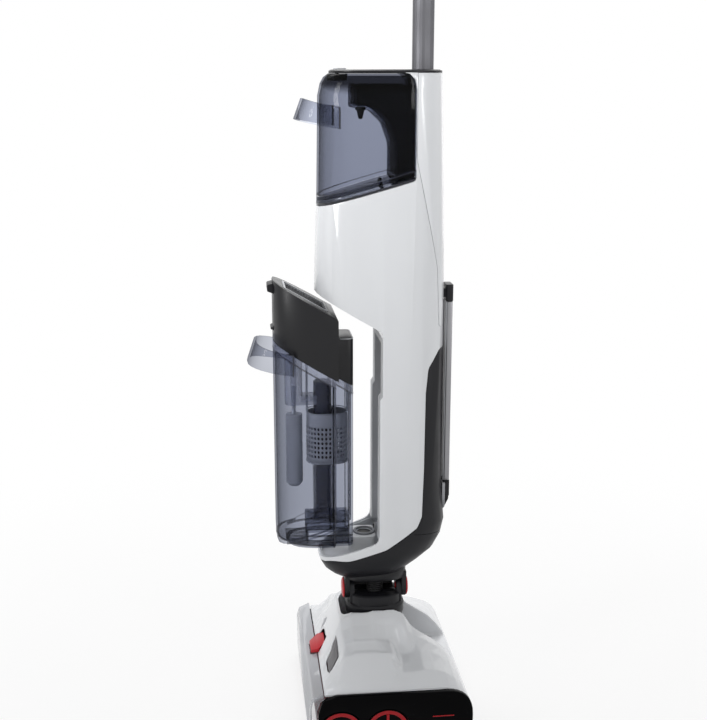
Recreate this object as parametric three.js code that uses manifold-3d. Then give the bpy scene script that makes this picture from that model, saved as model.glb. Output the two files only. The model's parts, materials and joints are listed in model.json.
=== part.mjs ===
// Cordless wet dry floor scrubber: an upright body on a two-roller head, with a clean-water
// tank at the top and a dirty-water tank that slides out of a bay in the middle.
// Millimetres, +Z up. The front is -Y, the user's left hand side is +X.

import * as THREE from 'three';
import { mergeVertices } from 'three/addons/utils/BufferGeometryUtils.js';
import Module from 'manifold-3d';

const wasm = await Module();
wasm.setup();

// ---------------------------------------------------------------- driving dimensions

const gap = 0.4; // assembly clearance between pieces that touch
const slip = 0.8; // clearance round a piece that slides or turns
const wall = 3; // moulded housing wall
const tankWall = 2.4; // clear tank wall

// Head
const headHalfWidth = 130;
const headFront = -98;
const headRear = 104;
const endPanelThickness = 6;
const deckHeight = 75; // top of the cover at its two ends
const rearShoulder = 30; // radius that rounds the rear edge of the cover
const coverFrontEdge = -80; // where the cover meets the front guard
const humpRise = 35; // flat top of the cover above its ends
const neckRise = 30; // further rise of the cover round the neck
const humpHalfLength = 93;
const rollerRadius = 27.6;
const rollerSpacing = 58;
const frontRollerY = -60;
const rollerCoreRadius = 19;
const rollerHubRadius = 6;
const wheelRadius = 17;
const wheelWidth = 14;
const wheelY = 78;
const wheelX = 62;

// Neck
const neckY = -3;
const pitchHeight = 94;
const pitchDrumRadius = 24;
const pitchDrumHalfLength = 30;
const trunnionRadius = 9;
const earRadius = 14;
const earThickness = 6;
const neckReach = 40; // neck centre to the outer face of the front and rear legs
const hoseRadius = 10;
const wellHalfWidth = 37;
const wellFront = -49;

// Body
const bodyHalfWidth = 50;
const bodyFront = -79;
const bodyRear = 80;
const bodyBottom = 176;
const bodyTop = 811;
const swivelHeight = bodyBottom - 17; // the collar's legs need this room under the body
const topCoverThickness = 3.2;
const bayFloor = bodyBottom + 31; // floor of the bay
const bayRimFront = bayFloor + 4; // top of the rim round the bay floor, at the front
const bayRimRear = bayFloor + 31; // and where it meets the column
const portHeight = bayRimRear - 2; // top of the pier that carries the inlet port
const portY = -17;
const portRadius = 12;
const pierHalfWidth = 20;
const columnFront = 0; // front of the column behind the bay
const columnStep = 3; // the lower part of the column's front stands this much forward
const columnStepHeight = 427;
const overhangRear = 508.5; // height of the overhang where it meets the column
const overhangSlope = 0.58; // rise of the overhang per unit towards the front
const recessDepth = 21;
const recessHalfWidth = 28;
const recessTop = 492;

// Clean-water tank
const cleanFront = -75;
const cleanRear = 38;
const cleanFloorRear = 689;
const cleanFloorSlope = 0.28; // fall of the tank's floor per unit towards the front
const cleanCorner = 20;

// Dirty-water tank, described where it is docked
const slideAngle = 20 * Math.PI / 180;
const drawnOut = 56; // how far the tank stands out of its bay
const tankFloor = bayFloor + 1.5;
const lidBottomRear = 429.5;
const lidBottomSlope = 0.59;
const lidShoulder = 479; // top of the low part of the lid, behind
const tankHalfWidth = 48.5;

// Tube and handle
const tubeRadius = 12.8;
const tubeY = 51.5;
const tubeTop = 985;
const gripLength = 122;
const gripLean = 38 * Math.PI / 180;

// The dimensions above run from the middle of the body; this puts the origin under the middle
// of the whole outline instead.
const frameShift = -5.3;

// ---------------------------------------------------------------- solid helpers

function solidOf(geometry) {
  const bare = geometry.clone();
  bare.deleteAttribute('normal');
  bare.deleteAttribute('uv');
  const merged = mergeVertices(bare, 1e-4);
  const source = merged.index.array;
  const corners = [];
  for (let i = 0; i < source.length; i += 3) {
    const [a, b, c] = [source[i], source[i + 1], source[i + 2]];
    if (a !== b && b !== c && a !== c) {
      corners.push(a, b, c);
    }
  }
  return new wasm.Manifold(new wasm.Mesh({
    numProp: 3,
    vertProperties: Float32Array.from(merged.attributes.position.array),
    triVerts: Uint32Array.from(corners),
  }));
}

function geometryOf(solid) {
  const mesh = solid.getMesh();
  const geometry = new THREE.BufferGeometry();
  geometry.setAttribute('position', new THREE.BufferAttribute(mesh.vertProperties, 3));
  geometry.setIndex(new THREE.BufferAttribute(mesh.triVerts, 1));
  return geometry;
}

function fuse(...solids) {
  return solids.reduce((whole, solid) => whole.add(solid));
}

function cut(solid, ...tools) {
  return tools.reduce((rest, tool) => rest.subtract(tool), solid);
}

function common(...solids) {
  return solids.reduce((shared, solid) => shared.intersect(solid));
}

function block(x0, x1, y0, y1, z0, z1) {
  const geometry = new THREE.BoxGeometry(x1 - x0, y1 - y0, z1 - z0);
  geometry.translate((x0 + x1) / 2, (y0 + y1) / 2, (z0 + z1) / 2);
  return solidOf(geometry);
}

// A round bar along x, y or z, from one end to the other, about a centre line.
function rod(axis, radius, from, to, centre, segments = 16) {
  const geometry = new THREE.CylinderGeometry(radius, radius, to - from, segments);
  geometry.translate(0, (from + to) / 2, 0);
  const [u, v] = centre;
  if (axis === 'x') {
    geometry.applyMatrix4(new THREE.Matrix4().makeBasis(
      new THREE.Vector3(0, 0, 1), new THREE.Vector3(1, 0, 0), new THREE.Vector3(0, 1, 0)));
    geometry.translate(0, u, v);
  } else if (axis === 'y') {
    geometry.translate(u, 0, v);
  } else {
    geometry.rotateX(Math.PI / 2);
    geometry.translate(u, v, 0);
  }
  return solidOf(geometry);
}

// A closed outline through corners [u, v, radius]; a corner with a radius is rounded.
function outline(corners) {
  const shape = new THREE.Shape();
  corners.forEach(([u, v, radius = 0], i) => {
    const here = new THREE.Vector2(u, v);
    const before = new THREE.Vector2(...corners[(i + corners.length - 1) % corners.length]);
    const after = new THREE.Vector2(...corners[(i + 1) % corners.length]);
    const inward = before.clone().sub(here);
    const outward = after.clone().sub(here);
    const half = Math.abs(inward.angleTo(outward)) / 2;
    const wanted = radius / Math.tan(half);
    const back = Math.min(wanted, inward.length() * 0.49, outward.length() * 0.49);
    const start = here.clone().addScaledVector(inward.normalize(), back);
    const end = here.clone().addScaledVector(outward.normalize(), back);
    if (i === 0) {
      shape.moveTo(start.x, start.y);
    } else {
      shape.lineTo(start.x, start.y);
    }
    if (radius > 0) {
      shape.quadraticCurveTo(here.x, here.y, end.x, end.y);
    }
  });
  return shape;
}

function extrusion(shape, depth, roundSteps) {
  return new THREE.ExtrudeGeometry(shape, { depth, bevelEnabled: false, curveSegments: roundSteps });
}

// Prisms: an outline in (y, z) along x, in (x, z) along y, and in (x, y) along z.
function prismX(shape, x0, x1, roundSteps = 3) {
  const geometry = extrusion(shape, x1 - x0, roundSteps);
  geometry.applyMatrix4(new THREE.Matrix4().makeBasis(
    new THREE.Vector3(0, 1, 0), new THREE.Vector3(0, 0, 1), new THREE.Vector3(1, 0, 0)));
  geometry.translate(x0, 0, 0);
  return solidOf(geometry);
}

function prismY(shape, y0, y1, roundSteps = 3) {
  const geometry = extrusion(shape, y1 - y0, roundSteps);
  geometry.rotateX(Math.PI / 2);
  geometry.translate(0, y1, 0);
  return solidOf(geometry);
}

function prismZ(shape, z0, z1, roundSteps = 3) {
  const geometry = extrusion(shape, z1 - z0, roundSteps);
  geometry.translate(0, 0, z0);
  return solidOf(geometry);
}

function roundedBlockOutline(u0, u1, v0, v1, radius) {
  return outline([[u0, v0, radius], [u1, v0, radius], [u1, v1, radius], [u0, v1, radius]]);
}

// A solid through rings of points. All rings have as many points, and the end rings are flat.
function loft(rings) {
  const count = rings[0].length;
  const positions = rings.flat().flatMap((point) => [point.x, point.y, point.z]);
  const faces = [];
  for (let k = 0; k < rings.length - 1; k += 1) {
    for (let i = 0; i < count; i += 1) {
      const a = k * count + i;
      const b = k * count + (i + 1) % count;
      faces.push(a, b, a + count, b, b + count, a + count);
    }
  }
  const last = (rings.length - 1) * count;
  for (const [a, b, c] of flatCap(rings[0])) {
    faces.push(a, c, b);
  }
  for (const [a, b, c] of flatCap(rings[rings.length - 1])) {
    faces.push(last + a, last + b, last + c);
  }
  if (signedVolume(positions, faces) < 0) {
    for (let i = 0; i < faces.length; i += 3) {
      [faces[i], faces[i + 1]] = [faces[i + 1], faces[i]];
    }
  }
  const geometry = new THREE.BufferGeometry();
  geometry.setAttribute('position', new THREE.Float32BufferAttribute(positions, 3));
  geometry.setIndex(faces);
  return solidOf(geometry);
}

function flatNormal(ring) {
  const normal = new THREE.Vector3();
  ring.forEach((point, i) => {
    normal.add(point.clone().cross(ring[(i + 1) % ring.length]));
  });
  return normal.normalize();
}

function flatCap(ring) {
  const normal = flatNormal(ring);
  const side = new THREE.Vector3(normal.z, normal.x, normal.y).cross(normal).normalize();
  const up = normal.clone().cross(side);
  const flat = ring.map((point) => new THREE.Vector2(point.dot(side), point.dot(up)));
  return THREE.ShapeUtils.triangulateShape(flat, []);
}

function signedVolume(positions, faces) {
  const corner = (i) => new THREE.Vector3().fromArray(positions, 3 * faces[i]);
  let total = 0;
  for (let i = 0; i < faces.length; i += 3) {
    total += corner(i).dot(corner(i + 1).cross(corner(i + 2)));
  }
  return total;
}

function turned(profile, segments = 24) {
  const points = profile.map(([radius, height]) => new THREE.Vector2(radius, height));
  const geometry = new THREE.LatheGeometry(points, segments);
  geometry.rotateX(Math.PI / 2);
  return solidOf(geometry);
}

function placed(solid, matrix) {
  return solidOf(geometryOf(solid).applyMatrix4(matrix));
}

function shifted(solid, x, y, z) {
  return placed(solid, new THREE.Matrix4().makeTranslation(x, y, z));
}

function smooth(value, low, high) {
  return THREE.MathUtils.smoothstep(value, low, high);
}

// Height on a line of [place, height] points, joined by straight or eased stretches.
function along(table, place) {
  const next = table.findIndex(([at]) => at >= place);
  if (next === 0) {
    return table[0][1];
  }
  if (next === -1) {
    return table[table.length - 1][1];
  }
  const [from, low] = table[next - 1];
  const [to, high] = table[next];
  return THREE.MathUtils.lerp(low, high, (place - from) / (to - from));
}

// ---------------------------------------------------------------- materials

const finish = (color, roughness, metalness = 0) => (
  new THREE.MeshStandardMaterial({ color, roughness, metalness }));

const whiteGloss = finish(0xe6e8ea, 0.25);
const blackGloss = finish(0x0b0b0d, 0.15);
const blackSatin = finish(0x26272b, 0.5);
const charcoal = finish(0x3a3b3f, 0.45);
const linerGrey = finish(0x6e7174, 0.55);
const lightGrey = finish(0xb9bbbf, 0.5);
const redPlastic = finish(0xb5202b, 0.35);
const rubberBlack = finish(0x1b1b1c, 0.9);
const smokyClear = finish(0x6b7186, 0.1);
const brushedMetal = finish(0x8e8f92, 0.35, 0.9);
const steel = finish(0xa9abad, 0.3, 1);
const copperBrown = finish(0x8a5a34, 0.5, 0.4);
const boardGreen = finish(0x1f5a3a, 0.6);
const brushPile = finish(0x9a3b3f, 0.95);

const machine = new THREE.Group();
machine.position.y = frameShift;

function piece(name, solid, material, holder = machine) {
  const mesh = new THREE.Mesh(geometryOf(solid), material);
  mesh.name = name;
  holder.add(mesh);
  return mesh;
}

// ---------------------------------------------------------------- body envelope

// Side view of the upright body: [height, front y, rear y, half width].
const bodyProfile = [
  [bodyBottom, bodyFront + 36, 16, 0.26],
  [bodyBottom + 5, bodyFront + 27, 24, 0.44],
  [bodyBottom + 11, bodyFront + 18, 31, 0.6],
  [bodyBottom + 18, bodyFront + 10, 39, 0.74],
  [bodyBottom + 30, bodyFront + 3, 54, 0.88],
  [bodyBottom + 45, bodyFront + 0.6, bodyRear - 8, 0.96],
  [bayRimRear, bodyFront, bodyRear + 1, 1],
  [bayRimRear + 20, bodyFront, bodyRear + 5.5, 1],
  [300, bodyFront, bodyRear + 1.5, 1],
  [420, bodyFront, bodyRear, 1],
  [560, bodyFront, bodyRear, 1],
  [660, bodyFront + 3, bodyRear - 2, 1],
  [785, bodyFront + 5, bodyRear - 5.5, 1],
  [799, bodyFront + 8, bodyRear - 5.8, 0.985],
  [806, bodyFront + 12, bodyRear - 6, 0.965],
  [bodyTop, bodyFront + 19, bodyRear - 6.5, 0.93],
];

const bodySteps = 24;

function bodyRing(height, inset = 0, steps = bodySteps) {
  const front = along(bodyProfile.map(([z, y]) => [z, y]), height) + inset;
  const rear = along(bodyProfile.map(([z, , y]) => [z, y]), height) - inset;
  const share = along(bodyProfile.map(([z, , , s]) => [z, s]), height);
  const halfWidth = bodyHalfWidth * share - inset;
  const power = 2 / 2.7;
  return Array.from({ length: steps }, (_, i) => {
    const angle = 2 * Math.PI * i / steps;
    const across = Math.cos(angle);
    const back = Math.sin(angle);
    return new THREE.Vector3(
      halfWidth * Math.sign(across) * Math.abs(across) ** power,
      (front + rear) / 2 + (rear - front) / 2 * Math.sign(back) * Math.abs(back) ** power,
      height,
    );
  });
}

// The body's outer form between two heights, shrunk by inset.
function bodyForm(low, high, inset = 0, steps = bodySteps) {
  const heights = bodyProfile.map(([z]) => z).filter((z) => z > low + 1 && z < high - 1);
  return loft([low, ...heights, high].map((z) => bodyRing(z, inset, steps)));
}

const far = 200; // reaches past every side of the body

// Space of the clean-water tank, in side view. grow moves its floor and back outwards.
function cleanSpace(grow = 0) {
  const rear = cleanRear + grow;
  const floorAt = (y) => cleanFloorRear - grow * 1.04 + cleanFloorSlope * (y - cleanRear);
  return prismX(outline([
    [-far, floorAt(-far)],
    [rear, floorAt(rear), 6],
    [rear, bodyTop + 1, cleanCorner],
    [-far, bodyTop + 1],
  ]), -far, far);
}

function overhangAt(y) {
  return overhangRear + overhangSlope * (columnFront - y);
}

function rimAt(y) {
  const share = (y - bodyFront) / (columnFront - bodyFront);
  return THREE.MathUtils.lerp(bayRimFront, bayRimRear, share);
}

// Space of the bay between the overhang and the rim, open to the front and both sides.
function baySpace(grow = 0) {
  const rear = columnFront + grow;
  return prismX(outline([
    [-far, overhangAt(-far) + grow * 1.16],
    [rear, overhangAt(rear) + grow * 1.16, 9],
    [rear, columnStepHeight + 2],
    [rear - columnStep, columnStepHeight - 2],
    [rear - columnStep, rimAt(columnFront) - grow, 14],
    [bodyFront, rimAt(bodyFront) - grow],
    [-far, rimAt(bodyFront) - grow],
  ]), -far, far);
}

// The hollow in the column's front that the narrow rear of the dirty-water tank enters.
function columnRecess(grow = 0) {
  return prismZ(roundedBlockOutline(
    -recessHalfWidth - grow, recessHalfWidth + grow,
    columnFront - 60, columnFront + recessDepth + grow, 8,
  ), bayFloor - 4, recessTop + grow);
}

// Side view of the black back panel: it climbs the lower back and wraps under the body.
const panelTop = 486;
const panelEdge = [
  [bodyRear + 60, panelTop], [72, panelTop - 3, 4], [57, 461, 14], [54, 430, 20], [53, 330], [51, 270, 10],
  [45, 256, 8], [7, 229, 30], [-40, 213, 20],
  [-62, 212, 20], [-80, 203, 10], [-far, 200],
];

function panelSpace(grow = 0) {
  const edge = panelEdge.map(([y, z, r = 0]) => [y - grow, z + grow, r]);
  return prismX(outline([...edge, [-far, 100], [bodyRear + 60, 100]]), -far, far);
}

// Side view of the rear cover: the strip behind the long crease that runs down the body.
const creaseEdge = [
  [cleanRear + 1, bodyTop + 20], [cleanRear + 1, 712, 30], [57, 632, 40], [67, 584, 20],
  [70.5, 511, 5], [bodyRear + 60, 497],
];

function rearCoverSpace(grow = 0) {
  const edge = creaseEdge.map(([y, z, r = 0]) => [y - grow, z - grow * 0.5, r]);
  return prismX(outline([...edge, [bodyRear + 60, bodyTop + 20]]), -far, far);
}

// ---------------------------------------------------------------- body shells

const motorHeight = cleanFloorRear - 85; // between the tank bay and the clean water tank's floor
const motorRadius = 38;
const motorLength = 62;
const deckThickness = 3;
const linerThickness = 2.6;
const linerHalfWidth = 46;
const linerTop = 500;
const rimThickness = wall + 0.4;

// The grey lining of the column's front and of its recess, thickened by grow.
function linerSpace(grow = 0) {
  const reach = linerThickness + grow;
  const extent = block(
    -linerHalfWidth - grow, linerHalfWidth + grow, -25, 60, bayRimRear + 4 - grow, linerTop + grow);
  return common(fuse(baySpace(reach), columnRecess(reach)), extent);
}

// The room inside the rim for the bay's floor tray, shrunk by inset.
function trayForm(inset = 0, lift = 0) {
  const low = bayFloor - linerThickness + inset;
  const top = (y) => rimAt(y) - 1 + lift;
  const front = common(
    bodyForm(bodyBottom, bodyTop, rimThickness + inset),
    prismX(outline([
      [-far, low], [columnFront, low], [columnFront, top(columnFront)],
      [bodyFront, top(bodyFront)], [-far, top(bodyFront)],
    ]), -far, far),
  );
  const rear = block(
    -recessHalfWidth - linerThickness + inset, recessHalfWidth + linerThickness - inset,
    columnFront - 3, columnFront + recessDepth + linerThickness - inset, low, top(columnFront - 3));
  return fuse(front, rear);
}

function tubeHole() {
  return rod('z', tubeRadius + gap, 690, bodyTop + 20, [0, tubeY], 24);
}

function frontHousing() {
  const form = bodyForm(bodyBottom, bodyTop);
  const kept = cut(form, cleanSpace(gap), baySpace(), panelSpace(gap / 2), rearCoverSpace(gap / 2));
  const behindLiner = linerThickness + gap + wall;
  const inside = cut(
    bodyForm(bodyBottom, bodyTop - 6, wall),
    cleanSpace(gap + deckThickness),
    common(baySpace(behindLiner), block(-far, far, -far, far, bayRimRear + 4, bodyTop)),
    common(columnRecess(behindLiner), block(-far, far, -far, far, bayRimRear + 4, bodyTop)),
  );
  const socket = rod('z', tubeRadius + 3 + 2 * gap, 690, bodyTop - 7, [0, tubeY]);
  return cut(kept, inside, linerSpace(gap), columnRecess(linerThickness + gap), socket, tubeHole());
}

function bayLiner() {
  return cut(linerSpace(), baySpace(), columnRecess());
}

function pier(grow = 0) {
  const top = portHeight + grow;
  return prismZ(roundedBlockOutline(
    -pierHalfWidth - grow, pierHalfWidth + grow,
    portY - portRadius - 7 - grow, columnFront - columnStep - 0.6, 6,
  ), bayFloor - 1, top);
}

function bayTray() {
  const tub = cut(trayForm(), trayForm(2, 5));
  const floor = common(trayForm(), block(-far, far, -far, far, 0, bayFloor));
  const bore = rod('z', portRadius - 2.5, bayFloor - 10, portHeight + 5, [0, portY]);
  return cut(fuse(tub, floor, pier()), bore);
}

function portSeal() {
  return shifted(turned([
    [portRadius - 2.2, portHeight + 0.3], [portRadius + 2.4, portHeight + 0.3],
    [portRadius + 1.6, portHeight + 2.1], [portRadius - 1, portHeight + 2.6],
    [portRadius - 2.2, portHeight + 0.3],
  ]), 0, portY, 0);
}

function rearCover() {
  const form = common(bodyForm(480, bodyTop), rearCoverSpace(-gap / 2));
  const inside = bodyForm(470, bodyTop - 4, wall);
  return cut(form, inside, tubeHole());
}

function backPanel() {
  const form = common(bodyForm(bodyBottom, panelTop + 14), panelSpace(-gap / 2));
  const inside = bodyForm(bodyBottom + wall, panelTop + 24, wall);
  const hosePassage = rod('z', hoseRadius + 7, bodyBottom - 5, bodyBottom + 20, [0, neckY]);
  return cut(form, inside, hosePassage);
}

piece('front_housing', frontHousing(), whiteGloss);
piece('rear_cover', rearCover(), whiteGloss);
piece('back_panel', backPanel(), blackSatin);
piece('bay_liner', bayLiner(), linerGrey);
piece('bay_tray', bayTray(), linerGrey);
piece('port_seal', portSeal(), rubberBlack);

// ---------------------------------------------------------------- top, dock and tube

const dockHalfWidth = 34;
const dockFront = -30;
const dockRear = 18;
const dockShoulder = 731;
const dockCrown = 774;

// The arched bulkhead in the tank's back that the clean tank straddles, grown by grow.
function dockSpace(grow = 0) {
  const floorAt = (y) => cleanFloorRear + cleanFloorSlope * (y - cleanRear);
  return prismX(outline([
    [dockRear - grow, floorAt(dockRear) - 1],
    [dockRear - grow, dockShoulder - grow, 14],
    [dockRear - 9 - grow, dockShoulder + 25 - grow, 14],
    [dockRear - 24 - grow, dockCrown - 4 - grow, 14],
    [dockRear - 38 - grow, dockCrown - grow, 2],
    [dockFront - grow, dockCrown - grow, 3],
    [dockFront - grow, bodyTop - 14 + grow * 0.5, 4],
    [cleanRear + 0.1 + grow, bodyTop - 14 + grow * 0.5],
    [cleanRear + 0.1 + grow, floorAt(cleanRear) - 1],
  ]), -dockHalfWidth - grow, dockHalfWidth + grow, 8);
}

function dockBlock() {
  const hollow = prismX(outline([
    [dockRear + 3, cleanFloorRear + 2], [dockRear + 3, dockShoulder + 4, 16],
    [dockRear + 12, bodyTop - 20], [cleanRear + 5, bodyTop - 20], [cleanRear + 5, cleanFloorRear + 2],
  ]), -dockHalfWidth + 3, dockHalfWidth - 3);
  const socket = rod('z', tubeRadius + socketWall + 2 * gap, socketBottom - 5, bodyTop, [0, tubeY]);
  return cut(common(dockSpace(), cleanSpace(-0.2)), hollow, socket);
}

const releaseWidth = 26;
const releaseMiddle = bodyFront + 32;
const lensRadius = 19;
const lensSeatFloor = 1.2;

function topCover() {
  const low = bodyTop + gap;
  const rings = [
    [low, 0], [low + topCoverThickness * 0.55, 0], [low + topCoverThickness, 3],
  ].map(([z, inset]) => bodyRing(bodyTop, inset).map((point) => point.setZ(z)));
  const lensSeat = rod('z', lensRadius + gap, low + lensSeatFloor, low + 20, [0, -8], 24);
  const padSeat = prismZ(roundedBlockOutline(
    -releaseWidth / 2 - gap, releaseWidth / 2 + gap, releaseMiddle - 7 - gap, releaseMiddle + 7 + gap, 5.4),
  low + 0.6, low + 20);
  return cut(loft(rings), tubeHole(), lensSeat, padSeat);
}

const topZ = bodyTop + gap + topCoverThickness;
const socketBottom = 700;

function displayLens() {
  return rod('z', lensRadius, bodyTop + 2 * gap + lensSeatFloor, topZ, [0, -8], 24);
}

const socketWall = 3;
const socketTop = bodyTop - 17;

function tubeSocket(grow = 0) {
  const outer = tubeRadius + gap + socketWall + grow;
  const shell = rod('z', outer, socketBottom + 4 - grow, socketTop + grow, [0, tubeY]);
  return cut(shell, rod('z', tubeRadius + gap, socketBottom, bodyTop, [0, tubeY]));
}

function upperTube() {
  const outer = rod('z', tubeRadius, socketBottom + 6, tubeTop, [0, tubeY], 24);
  const bore = rod('z', tubeRadius - 1.6, socketBottom, tubeTop + 5, [0, tubeY], 24);
  return cut(outer, bore);
}

// Push pad at the front of the top cover that frees the clean tank.
function tankRelease() {
  return prismZ(roundedBlockOutline(
    -releaseWidth / 2, releaseWidth / 2, releaseMiddle - 7, releaseMiddle + 7, 5),
  topZ - 1.1, topZ + 1.6);
}

piece('dock_bulkhead', dockBlock(), blackSatin);
piece('top_cover', topCover(), blackSatin);
piece('display_lens', displayLens(), blackGloss);
piece('tube_socket', tubeSocket(), charcoal);
piece('upper_tube', upperTube(), brushedMetal);
piece('tank_release_button', tankRelease(), lightGrey);

// ---------------------------------------------------------------- clean-water tank

const baseDepth = 6;

function cleanForm(inset = 0) {
  const room = cut(cleanSpace(-inset - gap), dockSpace(slip + inset));
  const top = block(-far, far, -far, far, 0, bodyTop - 1 - inset);
  return common(bodyForm(cleanFloorRear - 60, bodyTop, 0.5 + inset), room, top);
}

// The slice of the clean tank's space just above its sloping floor.
function cleanBaseSlice(depth) {
  const floorAt = (y) => cleanFloorRear + cleanFloorSlope * (y - cleanRear) + gap;
  return prismX(outline([
    [-far, floorAt(-far)], [far, floorAt(far)], [far, floorAt(far) + depth], [-far, floorAt(-far) + depth],
  ]), -far, far);
}

const capY = -50;
const capRadius = 12;

function cleanTank() {
  const bottomless = cut(cleanForm(tankWall), cleanBaseSlice(0));
  const openBottom = common(bodyForm(600, bodyTop, 0.5 + tankWall), cleanBaseSlice(baseDepth + 8));
  const mouth = rod('z', capRadius + gap, bodyTop - 20, bodyTop + 5, [0, capY]);
  const dropped = cut(openBottom, dockSpace(slip + tankWall));
  return cut(cleanForm(), cleanBaseSlice(baseDepth), bottomless, dropped, mouth);
}

function cleanTankBase() {
  const plate = common(cleanForm(), cleanBaseSlice(baseDepth - gap));
  const valveHole = rod('z', 4, cleanFloorRear - 60, cleanFloorRear + 40, [0, dockFront + 20]);
  return cut(plate, valveHole);
}

function fillCap() {
  const plug = rod('z', capRadius, bodyTop - 9, bodyTop - 2, [0, capY]);
  const thumbRib = block(-capRadius + 3, capRadius - 3, capY - 1.5, capY + 1.5, bodyTop - 2, bodyTop - 0.6);
  return fuse(plug, thumbRib);
}

// A flat band bent round the front of a tank: a U in plan, leaning in towards its upper edge.
function bandHandle(frontReach, tipY, halfWidth, low, high, lean) {
  const thickness = 3;
  const path = [];
  const steps = 14;
  for (let i = 0; i <= steps; i += 1) {
    const angle = Math.PI * i / steps;
    const across = Math.cos(angle);
    const forward = Math.sin(angle);
    path.push([
      halfWidth * Math.sign(across) * Math.abs(across) ** 0.62,
      tipY - (tipY - frontReach) * forward ** 0.75,
      forward,
    ]);
  }
  const rings = path.map(([x, y, forward], i) => {
    const [x0, y0] = path[Math.max(i - 1, 0)];
    const [x1, y1] = path[Math.min(i + 1, steps)];
    const out = new THREE.Vector2(y0 - y1, x1 - x0).normalize();
    const droop = (high - low) * 0.5 * (1 - forward);
    const corner = (push, z, tilt) => new THREE.Vector3(
      x + out.x * push, y + out.y * push + lean * tilt * forward, z - droop * 0.8);
    return [
      corner(0, low, 0), corner(thickness, low, 0), corner(thickness, high, 1), corner(0, high, 1),
    ];
  });
  return loft(rings);
}

function cleanTankHandle() {
  const tip = -50;
  const low = bodyTop - 53;
  return bandHandle(cleanFront - 24, tip, surfaceX(tip, low + 7) + 0.2, low, low + 24, 9);
}

piece('clean_tank', cleanTank(), smokyClear);
piece('clean_tank_base', cleanTankBase(), smokyClear);
piece('clean_tank_handle', cleanTankHandle(), smokyClear);
piece('fill_cap', fillCap(), charcoal);

// ---------------------------------------------------------------- dirty-water tank (docked place)

const dirtyTank = new THREE.Group();
dirtyTank.position.set(0, -Math.cos(slideAngle) * drawnOut, Math.sin(slideAngle) * drawnOut);
machine.add(dirtyTank);

const tankNeckHalfWidth = recessHalfWidth - slip - 1;
const tankNeckRear = columnFront + recessDepth - slip - 0.6;
const tankBack = columnFront - columnStep - slip - gap;

function lidBottomAt(y) {
  return lidBottomRear + lidBottomSlope * (columnFront - y);
}

function lidTopAt(y) {
  return overhangRear - 3.3 + overhangSlope * (columnFront - y);
}

// Plan of the narrow rear of the tank and its lid, which enters the column's recess.
function neckPlan(inset) {
  return prismZ(roundedBlockOutline(
    -tankNeckHalfWidth + inset, tankNeckHalfWidth - inset, -far / 2, tankNeckRear - inset, 8 - inset),
  bodyBottom, bodyTop);
}

// The dirty tank's outer form shrunk by inset; rise lifts its sloping top.
function tankForm(inset, rise) {
  const nested = rimThickness + 2 + slip;
  const top = (y) => lidBottomAt(y) + rise;
  const above = common(
    bodyForm(bodyBottom + 26, 620, 1 + inset),
    prismX(outline([
      [-far, rimAt(-far) + 1.2 + inset], [tankBack - inset, rimAt(tankBack) + 1.2 + inset, 16],
      [tankBack - inset, top(tankBack)], [-far, top(-far)],
    ]), -far, far),
  );
  const low = tankFloor + inset;
  const footRings = [[low - 1, 9], [low + 6, 5], [low + 14, 0], [262, 0]];
  const below = common(
    loft(footRings.map(([z, tuck]) => bodyRing(z, nested + tuck + inset))),
    prismX(outline([
      [-far, low + 4], [bodyFront + nested, low + 3], [bodyFront + nested + 9, low],
      [tankBack - inset, low], [tankBack - inset, 262], [-far, 262],
    ]), -far, far),
  );
  const neck = prismX(outline([
    [tankBack - 20, low], [tankNeckRear - inset, low, 4], [tankNeckRear - inset, top(tankNeckRear)],
    [tankBack - 20, top(tankBack - 20)],
  ]), -far, far);
  return cut(fuse(above, below, common(neck, neckPlan(inset))), pierNotch(inset));
}

// The notch under the tank that lets it pass over the inlet pier as it slides in.
function pierNotch(grow = 0) {
  const side = pierHalfWidth + slip + grow;
  return block(-side, side, portY - portRadius - 7 - slip - grow, 60, 0, portHeight + 3.2 + grow);
}

const ductHalf = 12.5;
const ductStep = 316;
const ductTop = 420;
const ductRadius = 11.5;
const ductBore = 8.5;

function dirtyTankShell() {
  const hole = rod('z', ductBore, bayFloor, portHeight + 20, [0, portY]);
  return cut(tankForm(0, -gap), tankForm(tankWall, 80), hole);
}

function inletDuct() {
  const low = portHeight + 3.2 + tankWall + gap;
  const square = prismZ(roundedBlockOutline(
    -ductHalf, ductHalf, portY - ductHalf, portY + ductHalf, 3), low, ductStep);
  const round = rod('z', ductRadius, ductStep - 1, ductTop, [0, portY], 24);
  return cut(fuse(square, round), rod('z', ductBore, low - 5, ductTop + 5, [0, portY], 24));
}

const basketLow = ductStep + gap;
const basketHigh = 382;
const basketFront = -38;
const basketRear = 15;
const basketHalfWidth = 21;
const basketWall = 1.8;

function basketOutline(inset) {
  return roundedBlockOutline(
    -basketHalfWidth + inset, basketHalfWidth - inset, basketFront + inset, basketRear - inset, 20);
}

function strainerBasket() {
  const cup = cut(
    prismZ(basketOutline(0), basketLow, basketHigh, 4),
    prismZ(basketOutline(basketWall), basketLow + basketWall, basketHigh + 5, 4),
    rod('z', ductRadius + slip, basketLow - 5, basketLow + 5, [0, portY], 24),
  );
  const holes = [];
  const holeRadius = 2;
  const pitch = 11;
  for (let row = 0; row < 4; row += 1) {
    for (const across of [0, pitch]) {
      const centre = [portY + across, basketLow + pitch * (row + 1)];
      holes.push(rod('x', holeRadius, -basketHalfWidth - 5, basketHalfWidth + 5, centre, 4));
    }
  }
  const strap = block(-4, 4, basketFront + 0.2, basketFront + 2.4, basketHigh - 6, 446);
  const rearStrap = block(-4, 4, basketRear - 2.4, basketRear - 0.2, basketHigh - 6, 424);
  return fuse(cut(cup, fuse(...holes)), strap, rearStrap);
}

const floatY = -53;
const floatRadius = 10.5;
const floatLow = 284;
const floatHigh = 378;
const floatTravel = 10;

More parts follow.
